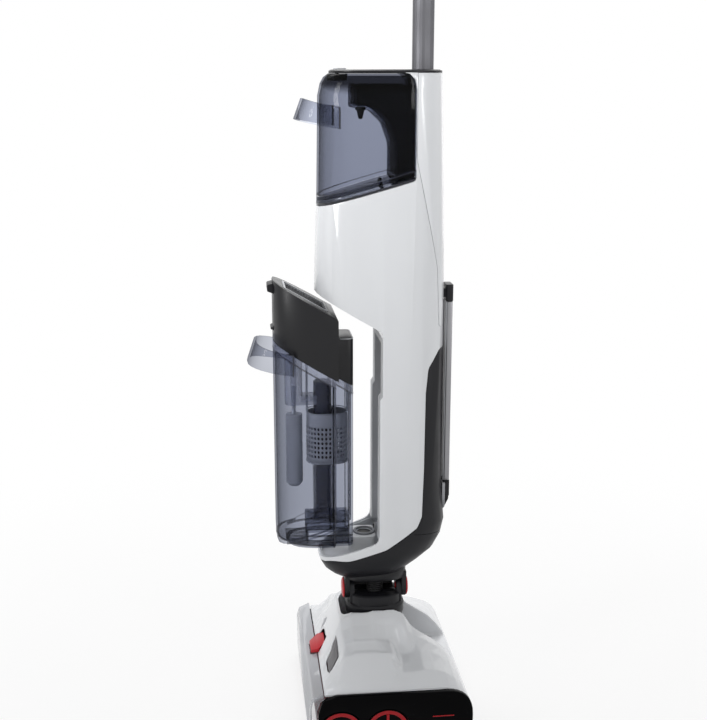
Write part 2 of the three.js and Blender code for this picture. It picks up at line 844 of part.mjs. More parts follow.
function floatBody() {
  const can = shifted(turned([
    [0, floatLow], [floatRadius - 4, floatLow], [floatRadius, floatLow + 5],
    [floatRadius, floatHigh], [2.5, floatHigh], [2.5, floatHigh + 36], [0, floatHigh + 36],
  ], 24), 0, floatY, 0);
  return can;
}

function floatGuide() {
  const low = floatHigh + floatTravel + 3;
  const high = lidBottomAt(floatY + floatRadius) - 2;
  const sleeve = rod('z', floatRadius + 0.5, low, high, [0, floatY]);
  const arms = [1, -1].map((side) => {
    const [x0, x1] = [side * 5, side * 9].sort((a, b) => a - b);
    return block(x0, x1, floatY, portY - ductRadius * 0.6, low, low + 12);
  });
  const duct = rod('z', ductRadius + gap, low - 5, low + 20, [0, portY]);
  return cut(fuse(sleeve, ...arms), rod('z', 3.4, low - 2, high + 5, [0, floatY], 16), duct);
}

function lidForm(inset, drop = 0) {
  const back = columnFront - slip - inset;
  const main = common(
    bodyForm(330, 620, 1 + inset),
    prismX(outline([
      [-far, lidBottomAt(-far) - drop], [back, lidBottomAt(back) - drop],
      [back, lidTopAt(back) - inset * 1.16, 3], [-far, lidTopAt(-far) - inset * 1.16],
    ]), -far, far),
  );
  const rear = prismX(outline([
    [back - 20, lidBottomAt(back - 20) - drop], [tankNeckRear - inset, lidBottomAt(tankNeckRear) - drop],
    [tankNeckRear - inset, lidShoulder - inset, 2], [back - 20, lidShoulder - inset],
  ]), -far, far);
  return fuse(main, common(rear, neckPlan(inset)));
}

// Frame of the lid's sloping top: x across, y up the slope, z out of the lid.
const lidTilt = new THREE.Matrix4().makeRotationX(-Math.atan(overhangSlope));
const filterMiddle = -38;
const filterHalfWidth = 26;
const filterHalfLength = 31;
const filterDepth = 15;

function onLidTop(solid) {
  const place = new THREE.Matrix4()
    .makeTranslation(0, filterMiddle, lidTopAt(filterMiddle)).multiply(lidTilt);
  return placed(solid, place);
}

function filterSeat(grow = 0) {
  return onLidTop(prismZ(roundedBlockOutline(
    -filterHalfWidth - grow, filterHalfWidth + grow, -filterHalfLength - grow,
    filterHalfLength + grow, 5), -filterDepth - grow, 6));
}

const latchHalfWidth = 13;
const latchFront = -84;
const latchRear = -76;
const latchLow = 533;
const latchHigh = 546;
const latchTravel = 2;

function lidLatch() {
  return prismX(outline([
    [latchFront, latchLow + 3, 2], [latchRear, latchLow], [latchRear, latchHigh],
    [latchFront, latchHigh - 2, 2],
  ]), -latchHalfWidth, latchHalfWidth);
}

function latchPocket() {
  return block(-latchHalfWidth - gap, latchHalfWidth + gap, latchFront - 10,
    latchRear + latchTravel + gap, latchLow - gap, latchHigh + gap);
}

function dirtyLid() {
  const shell = cut(lidForm(0), lidForm(2.6, 60));
  const box = cut(common(lidForm(0.2), filterSeat(gap + 2)), filterSeat(gap));
  const reach = filterHalfWidth + gap + 2;
  const brow = common(lidForm(0.2), onLidTop(block(
    -reach, reach, -filterHalfLength - 30, -filterHalfLength - gap, -filterDepth - gap - 2, 6)));
  const window = onLidTop(block(-18, 18, -22, 22, -filterDepth - 5, 0));
  return cut(fuse(cut(shell, filterSeat(gap)), box, brow), window, latchPocket());
}

function filterFrame() {
  const rim = onLidTop(cut(
    prismZ(roundedBlockOutline(
      -filterHalfWidth, filterHalfWidth, -filterHalfLength, filterHalfLength, 5), -6, 0.8),
    prismZ(roundedBlockOutline(
      -filterHalfWidth + 3, filterHalfWidth - 3, -filterHalfLength + 3, filterHalfLength - 3, 0), -9, 5),
  ));
  return rim;
}

function airFilter() {
  const half = filterHalfLength - 3 - gap;
  const pleats = 14;
  const pitch = 2 * half / pleats;
  const corners = [[-half, -filterDepth + 0.6], [half, -filterDepth + 0.6]];
  for (let i = 0; i < pleats; i += 1) {
    corners.push([half - i * pitch, -3]);
    corners.push([half - (i + 0.5) * pitch, -0.8]);
  }
  corners.push([-half, -3]);
  const side = filterHalfWidth - 3 - gap;
  return onLidTop(prismX(outline(corners), -side, side));
}

// Half width of the body's outer form at one place.
function surfaceX(y, height) {
  const front = along(bodyProfile.map(([z, f]) => [z, f]), height);
  const rear = along(bodyProfile.map(([z, , r]) => [z, r]), height);
  const share = Math.abs(y - (front + rear) / 2) / ((rear - front) / 2);
  return bodyHalfWidth * (1 - share ** 2.7) ** (1 / 2.7);
}

function dirtyTankHandle() {
  const tip = -54;
  const low = overhangRear - 60.5;
  return bandHandle(bodyFront - 28, tip, surfaceX(tip, low + 12) - 0.3, low, low + 26, 9);
}

piece('dirty_tank', dirtyTankShell(), smokyClear, dirtyTank);
piece('dirty_tank_handle', dirtyTankHandle(), smokyClear, dirtyTank);
piece('inlet_duct', inletDuct(), charcoal, dirtyTank);
piece('strainer_basket', strainerBasket(), lightGrey, dirtyTank);
piece('float', floatBody(), lightGrey, dirtyTank);
piece('float_guide', floatGuide(), charcoal, dirtyTank);
piece('dirty_tank_lid', dirtyLid(), charcoal, dirtyTank);
piece('filter_frame', filterFrame(), lightGrey, dirtyTank);
piece('air_filter', airFilter(), charcoal, dirtyTank);
piece('lid_latch', lidLatch(), blackSatin, dirtyTank);

// ---------------------------------------------------------------- neck

const boatTop = swivelHeight - 17;
const saddleTop = swivelHeight - 4;
const legInner = neckReach - earThickness;
const lugThickness = 6;
const pinRadius = 4;

function ovalRing(height, halfX, halfY, steps = 18) {
  return Array.from({ length: steps }, (_, i) => {
    const angle = 2 * Math.PI * i / steps;
    const [across, back] = [Math.cos(angle), Math.sin(angle)];
    return new THREE.Vector3(
      halfX * Math.sign(across) * Math.abs(across) ** 0.8,
      neckY + halfY * Math.sign(back) * Math.abs(back) ** 0.8,
      height,
    );
  });
}

// The part of the neck that tilts in the head: a drum with trunnions under an oval cup.
function neckDrum() {
  const drum = rod('x', pitchDrumRadius, -pitchDrumHalfLength, pitchDrumHalfLength, [neckY, pitchHeight]);
  const trunnions = rod('x', trunnionRadius, -wellHalfWidth - 4, wellHalfWidth + 4, [neckY, pitchHeight]);
  const boat = loft([
    ovalRing(pitchHeight + 4, 24, 24), ovalRing(boatTop - 26, 29, 34),
    ovalRing(boatTop - 14, 31, neckReach - 2),
    ovalRing(boatTop - 3, 30, neckReach - 1.5), ovalRing(boatTop, 27, neckReach - 4),
  ]);
  const saddle = loft([
    ovalRing(boatTop - 6, 28, legInner - gap), ovalRing(saddleTop - 2, 27, legInner - gap),
    ovalRing(saddleTop, 24.5, legInner - 2),
  ]);
  const lugs = [1, -1].map((side) => {
    const near = neckY + side * (legInner - gap);
    const [y0, y1] = [near, near - side * lugThickness].sort((a, b) => a - b);
    return fuse(
      rod('y', earRadius - 1, y0, y1, [0, swivelHeight]),
      block(-earRadius + 1, earRadius - 1, y0, y1, boatTop - 6, swivelHeight),
    );
  });
  const hoseBore = rod('z', hoseRadius + 1.3, pitchHeight - 40, saddleTop + 10, [0, neckY], 24);
  const pinBore = rod('y', pinRadius + gap, neckY - 50, neckY + 50, [0, swivelHeight], 20);
  return cut(fuse(drum, trunnions, boat, saddle, ...lugs), hoseBore, pinBore);
}

// The part of the neck that twists with the body: a collar with a leg in front and behind.
function neckCollar() {
  const ring = loft([
    ovalRing(swivelHeight + 16.4, 25, neckReach - 0.5), ovalRing(swivelHeight + 22, 28, neckReach),
    ovalRing(swivelHeight + 46, 31, neckReach + 1),
  ]);
  const legs = [1, -1].map((side) => {
    const [y0, y1] = [neckY + side * legInner, neckY + side * neckReach].sort((a, b) => a - b);
    return fuse(
      rod('y', earRadius, y0, y1, [0, swivelHeight]),
      block(-earRadius, earRadius, y0, y1, swivelHeight, swivelHeight + 24),
    );
  });
  const room = cut(
    fuse(rod('z', 23, swivelHeight - 20, bodyBottom + 20, [0, neckY], 24),
      block(-earRadius - 3, earRadius + 3, neckY - legInner, neckY + legInner, 100, bodyBottom - 3)),
  );
  const pinBore = rod('y', pinRadius + gap, neckY - 50, neckY + 50, [0, swivelHeight], 20);
  const body = bodyForm(bodyBottom, 300, -gap);
  const seat = prismZ(roundedBlockOutline(-60, 60, -90, 90, 5), bodyBottom - gap, bodyBottom + 1);
  return cut(fuse(ring, ...legs), room, pinBore, body, common(seat, bodyForm(bodyBottom - 2, 200, -gap)));
}

function pivotPin(side) {
  const out = neckY + side * (neckReach + gap);
  const cap = loft([
    [0, earRadius - 0.6], [1.4, earRadius - 1], [2.6, earRadius - 4],
  ].map(([depth, radius]) => Array.from({ length: 20 }, (_, i) => new THREE.Vector3(
    radius * Math.cos(2 * Math.PI * i / 20), out + side * depth,
    swivelHeight + radius * Math.sin(2 * Math.PI * i / 20)))));
  const inner = neckY + side * (legInner - lugThickness - 1);
  const [y0, y1] = [inner, out + side * 0.5].sort((a, b) => a - b);
  return fuse(cap, rod('y', pinRadius, y0, y1, [0, swivelHeight], 20));
}

function corrugatedHose() {
  const low = pitchHeight - 16;
  const high = bodyBottom - 7;
  const rings = 7;
  const pitch = (high - low) / rings;
  const outer = [];
  for (let i = 0; i < rings; i += 1) {
    outer.push([hoseRadius - 1.2, low + i * pitch]);
    outer.push([hoseRadius + 0.8, low + (i + 0.5) * pitch]);
  }
  outer.push([hoseRadius - 1.2, high]);
  const bore = hoseRadius - 2.6;
  return shifted(turned([[bore, low], ...outer, [bore, high], [bore, low]], 12), 0, neckY, 0);
}

function innerHose() {
  const radius = hoseRadius - 1;
  const section = new THREE.Shape().absarc(0, 0, radius, 0, 2 * Math.PI);
  section.holes.push(new THREE.Path().absarc(0, 0, radius - 2, 0, 2 * Math.PI));
  const path = new THREE.CubicBezierCurve3(
    new THREE.Vector3(0, neckY, bodyBottom + 2), new THREE.Vector3(0, neckY, bodyBottom + 14),
    new THREE.Vector3(0, portY, bayFloor - 18), new THREE.Vector3(0, portY, bayFloor - linerThickness - gap));
  return solidOf(new THREE.ExtrudeGeometry(section, {
    steps: 5, curveSegments: 7, extrudePath: path,
  }));
}

piece('neck_drum', neckDrum(), blackSatin);
piece('neck_collar', neckCollar(), charcoal);
piece('pivot_pin_front', pivotPin(-1), redPlastic);
piece('pivot_pin_rear', pivotPin(1), redPlastic);
piece('neck_hose', corrugatedHose(), rubberBlack);
piece('dirty_water_hose', innerHose(), rubberBlack);

// ---------------------------------------------------------------- head

const coverInner = headHalfWidth - endPanelThickness - gap; // inner face of each end panel
const ridgeSlope = 0.26;

function coverRise(x, y) {
  const across = Math.abs(x);
  const firstRidge = -8 + ridgeSlope * (across - 30);
  const secondRidge = firstRidge + 33;
  const behind = smooth(y, firstRidge - 3, firstRidge + 6);
  const frontSpan = 1 - smooth(across, humpHalfLength, coverInner + 3);
  const rearSpan = 1 - 0.5 * smooth(across, 36, coverInner - 8) - 0.42 * smooth(across, coverInner - 18, coverInner);
  const front = smooth(y, coverFrontEdge - 6, coverFrontEdge + 38);
  const channel = 1 - 0.2 * behind + 0.08 * smooth(y, secondRidge - 3, secondRidge + 3);
  const rearFall = 1 - smooth(y, 52, headRear + 2);
  const hump = humpRise * front * channel * rearFall * THREE.MathUtils.lerp(frontSpan, rearSpan, behind);
  const neck = neckRise * (1 - smooth(across, wellHalfWidth, 74));
  return hump + neck * smooth(y, coverFrontEdge, wellFront + 6) * (1 - smooth(y, 14, 62));
}

// Side view of the cover at one x: front edge, top, rounded rear edge, down to the skirt.
function coverCurve(x, inset) {
  const points = [];
  const tops = 11;
  const arcMiddle = headRear - rearShoulder;
  for (let i = 0; i <= tops; i += 1) {
    const y = THREE.MathUtils.lerp(coverFrontEdge, arcMiddle, i / tops);
    points.push([y, deckHeight + coverRise(x, y) - inset]);
  }
  const arcHeight = deckHeight - rearShoulder;
  for (let i = 1; i <= 4; i += 1) {
    const angle = Math.PI / 2 * i / 4;
    const radius = rearShoulder - inset;
    const y = arcMiddle + radius * Math.sin(angle);
    points.push([y, arcHeight + radius * Math.cos(angle) + coverRise(x, y) * (i < 3 ? 1 : 0)]);
  }
  points.push([headRear - inset, 16]);
  return points;
}

const coverStations = [124, 115, 104, 90, 72, 52, 38, 0];

function coverSections() {
  const half = coverStations.map((x) => x * coverInner / coverStations[0]);
  return [...half.map((x) => -x), ...half.slice(0, -1).reverse()];
}

function headCoverSkin() {
  return loft(coverSections().map((x) => {
    const outer = coverCurve(x, 0);
    const inner = coverCurve(x, wall).reverse();
    return [...outer, ...inner].map(([y, z]) => new THREE.Vector3(x, y, z));
  }));
}

function headCoverBulk() {
  return loft(coverSections().map((x) => {
    const outer = coverCurve(x, 0);
    const base = [[headRear, 15], [coverFrontEdge, 15]];
    return [...outer, ...base].map(([y, z]) => new THREE.Vector3(x, y, z));
  }));
}

const roofTop = 61;
const towerInner = 34;
const towerOuter = 43;
const towerReach = 13;
const wellWall = 2.6;
const neckPassageRear = 42; // behind this the neck's channel has a floor
const channelFloor = roofTop + 3.2;

function wellOutline(grow = 0) {
  const side = wellHalfWidth + grow;
  return outline([
    [-side, wellFront - grow, 24], [side, wellFront - grow, 24], [side, headRear + 60],
    [-side, headRear + 60],
  ]);
}

const sprayRight = headHalfWidth - 40;

function sprayWindowOutline(grow = 0) {
  return outline([
    [sprayRight - 45 - 3 * grow, -58 + grow], [sprayRight - 17 + grow, -58 + grow],
    [sprayRight + 3 * grow, -71 - grow], [sprayRight - 28 - grow, -71 - grow],
  ]);
}

function latchOutline(grow = 0) {
  return outline([
    [-13 - grow, -69 + grow], [13 + grow, -69 + grow], [20 + grow, -78], [13 + grow, -88 - grow],
    [-13 - grow, -88 - grow], [-20 - grow, -78],
  ]);
}

function headCover() {
  const skin = headCoverSkin();
  const bulk = headCoverBulk();
  const well = common(bulk, prismZ(wellOutline(wellWall), roofTop + gap, 200, 6));
  const opening = cut(prismZ(wellOutline(), 0, 250, 6),
    block(-headHalfWidth, headHalfWidth, neckPassageRear, headRear + 80, 0, channelFloor));
  const windowHole = prismZ(sprayWindowOutline(gap), 0, 200);
  const latchHole = prismZ(latchOutline(slip), 0, 200);
  const lowWall = block(-200, 200, -90, neckPassageRear - wellWall, 0, roofTop + gap);
  const towerRooms = [1, -1].map((side) => {
    const [x0, x1] = [side * 30, side * (towerOuter + slip)].sort((a, b) => a - b);
    return block(x0, x1, neckY - towerReach - slip, neckY + towerReach + slip, 0,
      pitchHeight + towerReach + slip);
  });
  return cut(fuse(skin, well), opening, windowHole, latchHole, lowWall, ...towerRooms);
}

function sprayWindow() {
  return common(headCoverSkin(), prismZ(sprayWindowOutline(-gap / 2), 0, 200));
}

// Side outline of the head's ends; arches let the rollers be drawn out sideways.
const rollerCapRadius = 26.6;
const panelFoot = 9;

// A corner drawn by outline() bulges past a true arc of the same radius; this evens it out.
const shoulderSquareness = 1.17;

function endOutline(inset = 0) {
  return outline([
    [-87.5 + inset, panelFoot], [-87.5 + inset, 50, 8], [-82 + inset, 70 - inset, 8],
    [-66, deckHeight - inset, 12],
    [headRear - inset, deckHeight - inset, rearShoulder * shoulderSquareness + inset],
    [headRear - inset, panelFoot, 14],
  ]);
}

function rollerArches(grow = 0) {
  const radius = rollerRadius + 0.5 + grow;
  const rear = frontRollerY + rollerSpacing;
  return fuse(
    rod('x', radius, -400, 400, [frontRollerY, rollerRadius], 24),
    rod('x', radius, -400, 400, [rear, rollerRadius], 24),
    block(-400, 400, frontRollerY - radius, rear + radius, -10, rollerRadius),
  );
}

function endPanelLeft() {
  const panel = prismX(endOutline(), headHalfWidth - endPanelThickness, headHalfWidth, 8);
  return cut(panel, rollerArches());
}

function endPanelRight() {
  return cut(
    prismX(endOutline(), -headHalfWidth, -headHalfWidth + endPanelThickness, 8),
    block(-200, 200, frontRollerY - 40, 30, -10, 5),
  );
}

const sidePlate = 4;
const boxFront = 32;
const boxTop = 57;

function wheelWell(side, grow = 0) {
  const half = wheelWidth / 2 + 2 + grow;
  return block(
    side * wheelX - half, side * wheelX + half, wheelY - wheelRadius - 3 - grow,
    wheelY + wheelRadius + 3 + grow, -5, wheelRadius * 2 + 2 + grow);
}

function headChassis() {
  const edge = coverInner - gap;
  const plateSpace = common(
    prismX(endOutline(wall + 1), -edge, edge, 6),
    block(-edge, edge, -200, headRear - wall - 1, 0, 72),
  );
  const leftPlate = cut(common(plateSpace, block(edge - sidePlate, edge, -200, 200, 0, 200)), rollerArches());
  const rightPlate = common(plateSpace, block(-edge, -edge + sidePlate, -200, 200, 4, 200));
  const pegs = [frontRollerY, frontRollerY + rollerSpacing].map((y) => (
    rod('x', rollerHubRadius - slip, -edge + 1, -edge + sidePlate + 9, [y, rollerRadius], 20)));
  const box = common(prismX(endOutline(wall + 1), -edge, edge, 6), cut(
    block(-edge, edge, boxFront, headRear, 10, boxTop),
    block(-edge + sidePlate, edge - sidePlate, boxFront + 2.5, headRear - wall - 4, 12.5, 80),
  ));
  const roof = block(-edge, edge, -68, boxFront + 1, rollerRadius * 2 + 1.6, roofTop - 1);
  const tower = (side) => {
    const [x0, x1] = [side * towerInner, side * towerOuter].sort((a, b) => a - b);
    return fuse(
      block(x0, x1, neckY - towerReach, neckY + towerReach, roofTop - 2, pitchHeight),
      rod('x', towerReach, x0, x1, [neckY, pitchHeight]),
    );
  };
  const bearing = rod('x', trunnionRadius + gap, -100, 100, [neckY, pitchHeight]);
  const wells = [1, -1].map((side) => common(wheelWell(side, 2.2), block(-edge, edge, boxFront, 99, 10, 60)));
  const axles = [1, -1].map((side) => (
    rod('x', 2.8, side * wheelX - wheelWidth / 2 - 4, side * wheelX + wheelWidth / 2 + 4, [wheelY, wheelRadius], 16)));
  const mouth = block(-14, 14, neckY - 16, neckY + 12, 40, 66);
  const solid = fuse(leftPlate, rightPlate, ...pegs, box, roof, tower(1), tower(-1), ...wells);
  return fuse(cut(solid, bearing, mouth, wheelWell(1), wheelWell(-1)), ...axles);
}

function roller(y) {
  const brush = rod('x', rollerRadius, -coverInner + 8, coverInner - 1.2, [y, rollerRadius], 24);
  return cut(brush, rod('x', rollerHubRadius, -200, 200, [y, rollerRadius], 20));
}

function rollerCap(y) {
  const inner = coverInner - 0.6;
  const disc = rod('x', rollerCapRadius, inner, headHalfWidth - 1.4, [y, rollerRadius], 24);
  const ring = cut(
    rod('x', rollerCapRadius - 0.4, headHalfWidth - 2, headHalfWidth, [y, rollerRadius], 24),
    rod('x', rollerCapRadius - 5, headHalfWidth - 1, headHalfWidth + 5, [y, rollerRadius], 28));
  const spigot = rod('x', rollerHubRadius - slip, inner - 12, inner + 1, [y, rollerRadius], 20);
  return fuse(disc, ring, spigot);
}

function wheel(side) {
  const [x0, x1] = [side * wheelX - wheelWidth / 2, side * wheelX + wheelWidth / 2];
  return cut(
    rod('x', wheelRadius, x0, x1, [wheelY, wheelRadius], 24),
    rod('x', 3.2, x0 - 5, x1 + 5, [wheelY, wheelRadius], 16),
  );
}

function scraperBlade() {
  const y = boxFront - gap;
  return prismX(outline([[y - 3, 30], [y - 3, 8], [y - 1.5, 0.6], [y - 0.7, 0.6], [y, 8], [y, 30]]),
    -coverInner + 6, coverInner - 6);
}

function frontGuard() {
  const edge = coverFrontEdge - gap;
  const section = outline([
    [edge, deckHeight + 1, 1], [-95, 69, 3], [headFront, 58, 4], [headFront, 13], [headFront + 3, 13],
    [headFront + 3, 58, 3], [-93, 66, 2], [edge, deckHeight - 2.5],
  ]);
  const shell = prismX(section, -headHalfWidth, headHalfWidth);
  const cheekOutline = outline([
    [headFront + 1, 14], [headFront + 1, 58], [-94, 67.5], [-84.5, 70.6], [-89, 58], [-89, 14],
  ]);
  const cheeks = [1, -1].map((side) => {
    const [x0, x1] = [side * (headHalfWidth - 2.5), side * headHalfWidth].sort((a, b) => a - b);
    return prismX(cheekOutline, x0, x1);
  });
  return cut(fuse(shell, ...cheeks), prismZ(latchOutline(slip), 0, 200));
}

function guardLatch() {
  const slab = prismX(outline([
    [-88.5, 73.4, 1], [-79, 77.6], [-68, 84.6], [-70, 88.4], [-81, 81.4, 3], [-88.5, 77, 2],
  ]), -30, 30);
  return common(slab, prismZ(latchOutline(), 0, 200));
}

function brushMotor() {
  const body = rod('x', 15.5, -45, 28, [54, 32], 24);
  const shaft = rod('x', 3, 26, 44, [54, 32], 16);
  return fuse(body, shaft);
}

piece('head_cover', headCover(), whiteGloss);
piece('head_chassis', headChassis(), charcoal);
piece('end_panel_left', endPanelLeft(), blackGloss);
piece('end_panel_right', endPanelRight(), blackGloss);
piece('spray_window', sprayWindow(), smokyClear);
piece('front_roller', roller(frontRollerY), brushPile);
piece('rear_roller', roller(frontRollerY + rollerSpacing), brushPile);
piece('front_roller_cap', rollerCap(frontRollerY), blackGloss);
piece('rear_roller_cap', rollerCap(frontRollerY + rollerSpacing), blackGloss);
piece('wheel_left', wheel(1), rubberBlack);
piece('wheel_right', wheel(-1), rubberBlack);
piece('scraper_blade', scraperBlade(), rubberBlack);
piece('front_guard', frontGuard(), lightGrey);
piece('guard_latch', guardLatch(), redPlastic);
piece('brush_motor', brushMotor(), steel);

// ---------------------------------------------------------------- rear rail

const railFront = 84;
const railRear = 91.5;
const railHalfWidth = 11;
const railTop = 559;
const railBottom = 284;
const railCap = 21;

function rearRail() {
  return prismZ(roundedBlockOutline(-railHalfWidth, railHalfWidth, railFront, railRear, 2),
    railBottom + railCap + gap, railTop - railCap - gap, 3);
}

function railCapTop() {
  const cap = prismZ(roundedBlockOutline(
    -railHalfWidth - 0.5, railHalfWidth + 0.5, railFront - 1, railRear + 0.5, 2.5),
  railTop - railCap, railTop, 3);
  const foot = block(-8, 8, 60, railFront, railTop - 16, railTop - 5);
  return cut(fuse(cap, foot), bodyForm(480, 620, -gap));
}

function railCapBottom() {
  return prismZ(roundedBlockOutline(
    -railHalfWidth - 0.5, railHalfWidth + 0.5, railFront - 0.6, railRear + 0.5, 2.5),
  railBottom, railBottom + railCap, 3);
}

function railCradle() {
  const outer = prismX(outline([
    [60, 268], [83, 268, 6], [railRear - 1.5, 282, 6], [railRear - 1.5, 303, 2], [60, 303],
  ]), -railHalfWidth - 4, railHalfWidth + 4);
  const socket = block(-railHalfWidth - 0.5 - gap, railHalfWidth + 0.5 + gap,
    railFront - 0.6 - gap, 120, railBottom - gap, 320);
  return cut(outer, socket, bodyForm(240, 340, -gap));
}

piece('rear_rail', rearRail(), brushedMetal);
piece('rail_cap_top', railCapTop(), blackSatin);
piece('rail_cap_bottom', railCapBottom(), blackSatin);
piece('rail_cradle', railCradle(), lightGrey);

// ---------------------------------------------------------------- inside the body

function suctionMotor() {
  return shifted(turned([
    [0, -motorLength / 2], [motorRadius - 6, -motorLength / 2], [motorRadius, -motorLength / 2 + 8],
    [motorRadius, 4], [motorRadius - 9, 12], [motorRadius - 9, motorLength / 2], [0, motorLength / 2],
  ], 24), 0, -4, motorHeight);
}

const batteryFront = columnFront + recessDepth + linerThickness + wall + 2;

function batteryPack() {
  const [low, high] = [bayRimRear + 54, panelTop - 18];
  const half = bodyHalfWidth - 10;
  const cell = prismZ(roundedBlockOutline(-half, half, batteryFront, bodyRear - 8, 8), low, high, 3);
  return common(cell, bodyForm(low - 12, high + 12, wall + 2));
}

function waterPump() {
  const x = -14;
  const [low, high] = [bayRimRear + 8, bayRimRear + 34];
  return fuse(
    block(x - 12, x + 12, 34, 62, low, high),
    rod('z', 11, high - 1, high + 16, [x, 48]),
    rod('y', 3, batteryFront, 35, [x, low + 13], 12),
  );
}

function controlBoard() {
  const thickness = 1.6;
  const low = overhangRear + 3.5;
  return block(-34, 34, 60, 60 + thickness, low, low + 80);
}

function bayCatch() {
  const nub = prismX(outline([
    [-56, overhangAt(-56) - gap], [-56, overhangAt(-56) - 1.9], [-48, overhangAt(-48) - 1.9],
    [-48, overhangAt(-48) - gap],
  ]), -7, 7);
  return nub;
}

piece('suction_motor', suctionMotor(), steel);
piece('battery_pack', batteryPack(), blackSatin);
piece('water_pump', waterPump(), charcoal);
piece('control_board', controlBoard(), boardGreen);
piece('bay_catch', bayCatch(), lightGrey);

// ---------------------------------------------------------------- handle

const gripBase = tubeTop - 36;
const bendRadius = 46;
const gripRadiusX = 15;
const gripRadiusY = 18;

// Centre line of the grip: up the tube, a bend to the rear, then a straight leaning stretch.
function gripSpine() {
  const spine = [];
  const bendMiddle = new THREE.Vector2(tubeY + bendRadius, tubeTop + 6);
  spine.push({ y: tubeY, z: gripBase, lean: 0, scale: 0.92 });
  spine.push({ y: tubeY, z: gripBase + 14, lean: 0, scale: 0.98 });
  const bends = 4;
  for (let i = 0; i <= bends; i += 1) {
    const lean = (Math.PI / 2 - gripLean) * i / bends;
    spine.push({
      y: bendMiddle.x - bendRadius * Math.cos(lean),
      z: bendMiddle.y + bendRadius * Math.sin(lean),
      lean,
      scale: 1 + 0.12 * Math.sin(Math.PI * i / bends),
    });
  }
  const last = spine[spine.length - 1];
  for (const share of [0.25, 0.5, 0.75, 0.94, 1]) {
    spine.push({
      y: last.y + gripLength * share * Math.sin(last.lean),
      z: last.z + gripLength * share * Math.cos(last.lean),
      lean: last.lean,
      scale: share === 1 ? 0.7 : 1 + 0.06 * Math.sin(Math.PI * share),
    });
  }
  return spine;
}

function gripForm(grow = 0) {
  const steps = 16;
  return loft(gripSpine().map(({ y, z, lean, scale }) => Array.from({ length: steps }, (_, i) => {
    const angle = 2 * Math.PI * i / steps;
    const across = (gripRadiusX * scale + grow) * Math.cos(angle);
    const out = (gripRadiusY * scale + grow) * Math.sin(angle);
    return new THREE.Vector3(across, y + out * Math.cos(lean), z - out * Math.sin(lean));
  })));
}

// A place on the upper face of the grip, with z out of its surface and y up its length.
function onGrip(solid, share) {
  const spine = gripSpine();
  const first = spine[6];
  const middle = new THREE.Matrix4().makeTranslation(
    0, first.y + gripLength * share * Math.sin(first.lean), first.z + gripLength * share * Math.cos(first.lean));
  const turn = new THREE.Matrix4().makeRotationX(Math.PI / 2 - first.lean);
  const out = new THREE.Matrix4().makeTranslation(0, 0, gripRadiusY);
  return placed(solid, middle.multiply(turn).multiply(out));
}

const buttonTravel = 1.5;

function buttonSolid(halfWidth, halfLength) {
  return prismZ(roundedBlockOutline(
    -halfWidth, halfWidth, -halfLength, halfLength, halfWidth), -4, 2, 4);
}

function buttonSeat(halfWidth, halfLength) {
  return prismZ(roundedBlockOutline(
    -halfWidth - gap, halfWidth + gap, -halfLength - gap, halfLength + gap, halfWidth + gap),
  -4 - buttonTravel - gap, 10, 4);
}

const buttons = [
  { name: 'power_button', share: 0.3, halfWidth: 7, halfLength: 9 },
  { name: 'self_clean_button', share: 0.62, halfWidth: 6, halfLength: 6 },
];

function gripShell(side) {
  const half = side > 0 ? block(0.15, 60, 0, 400, 900, 1300) : block(-60, -0.15, 0, 400, 900, 1300);
  const tubeBore = rod('z', tubeRadius + gap, gripBase - 10, tubeTop + 1, [0, tubeY], 24);
  const seats = buttons.map(({ share, halfWidth, halfLength }) => (
    onGrip(buttonSeat(halfWidth, halfLength), share)));
  return cut(common(gripForm(), half), tubeBore, ...seats);
}

piece('handle_left', gripShell(1), charcoal);
piece('handle_right', gripShell(-1), charcoal);
for (const { name, share, halfWidth, halfLength } of buttons) {
  piece(name, onGrip(buttonSolid(halfWidth, halfLength), share), lightGrey);
}

export default machine;
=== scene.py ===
# %% [markdown]
# # An upright wet dry floor scrubber
#
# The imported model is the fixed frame: every size and place comes from it. Blender adds what a
# solid model does not carry, such as rounded edges, clear and brushed finishes, the pile of
# the rollers and the small mouldings. The finished pieces ride on the frame's moving bodies.

# %% Load the frame
import json
import math

import bpy
from mathutils import Matrix, Vector

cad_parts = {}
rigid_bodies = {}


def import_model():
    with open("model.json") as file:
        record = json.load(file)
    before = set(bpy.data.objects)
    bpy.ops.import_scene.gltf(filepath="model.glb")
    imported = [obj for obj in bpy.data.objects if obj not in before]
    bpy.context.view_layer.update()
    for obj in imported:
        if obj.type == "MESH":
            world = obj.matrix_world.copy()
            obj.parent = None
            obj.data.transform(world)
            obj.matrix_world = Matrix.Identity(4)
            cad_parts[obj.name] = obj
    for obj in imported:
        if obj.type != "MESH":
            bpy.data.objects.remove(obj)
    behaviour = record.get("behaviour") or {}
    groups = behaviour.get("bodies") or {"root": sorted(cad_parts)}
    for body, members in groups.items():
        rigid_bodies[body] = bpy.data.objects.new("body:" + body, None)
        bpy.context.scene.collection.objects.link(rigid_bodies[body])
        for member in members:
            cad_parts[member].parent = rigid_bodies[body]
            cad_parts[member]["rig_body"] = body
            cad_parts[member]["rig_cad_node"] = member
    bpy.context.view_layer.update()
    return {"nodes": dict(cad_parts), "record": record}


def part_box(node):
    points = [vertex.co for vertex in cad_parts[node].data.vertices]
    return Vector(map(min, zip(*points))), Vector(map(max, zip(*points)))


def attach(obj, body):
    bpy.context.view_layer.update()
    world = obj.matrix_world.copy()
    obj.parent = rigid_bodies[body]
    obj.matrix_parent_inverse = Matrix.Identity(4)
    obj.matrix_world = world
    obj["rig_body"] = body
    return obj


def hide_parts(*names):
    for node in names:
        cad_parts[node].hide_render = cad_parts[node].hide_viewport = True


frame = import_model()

MM = 0.001
record = frame["record"]
nodes = frame["nodes"]
slot_of = {part["node"]: part["material_slot"] for part in record["subparts"]}
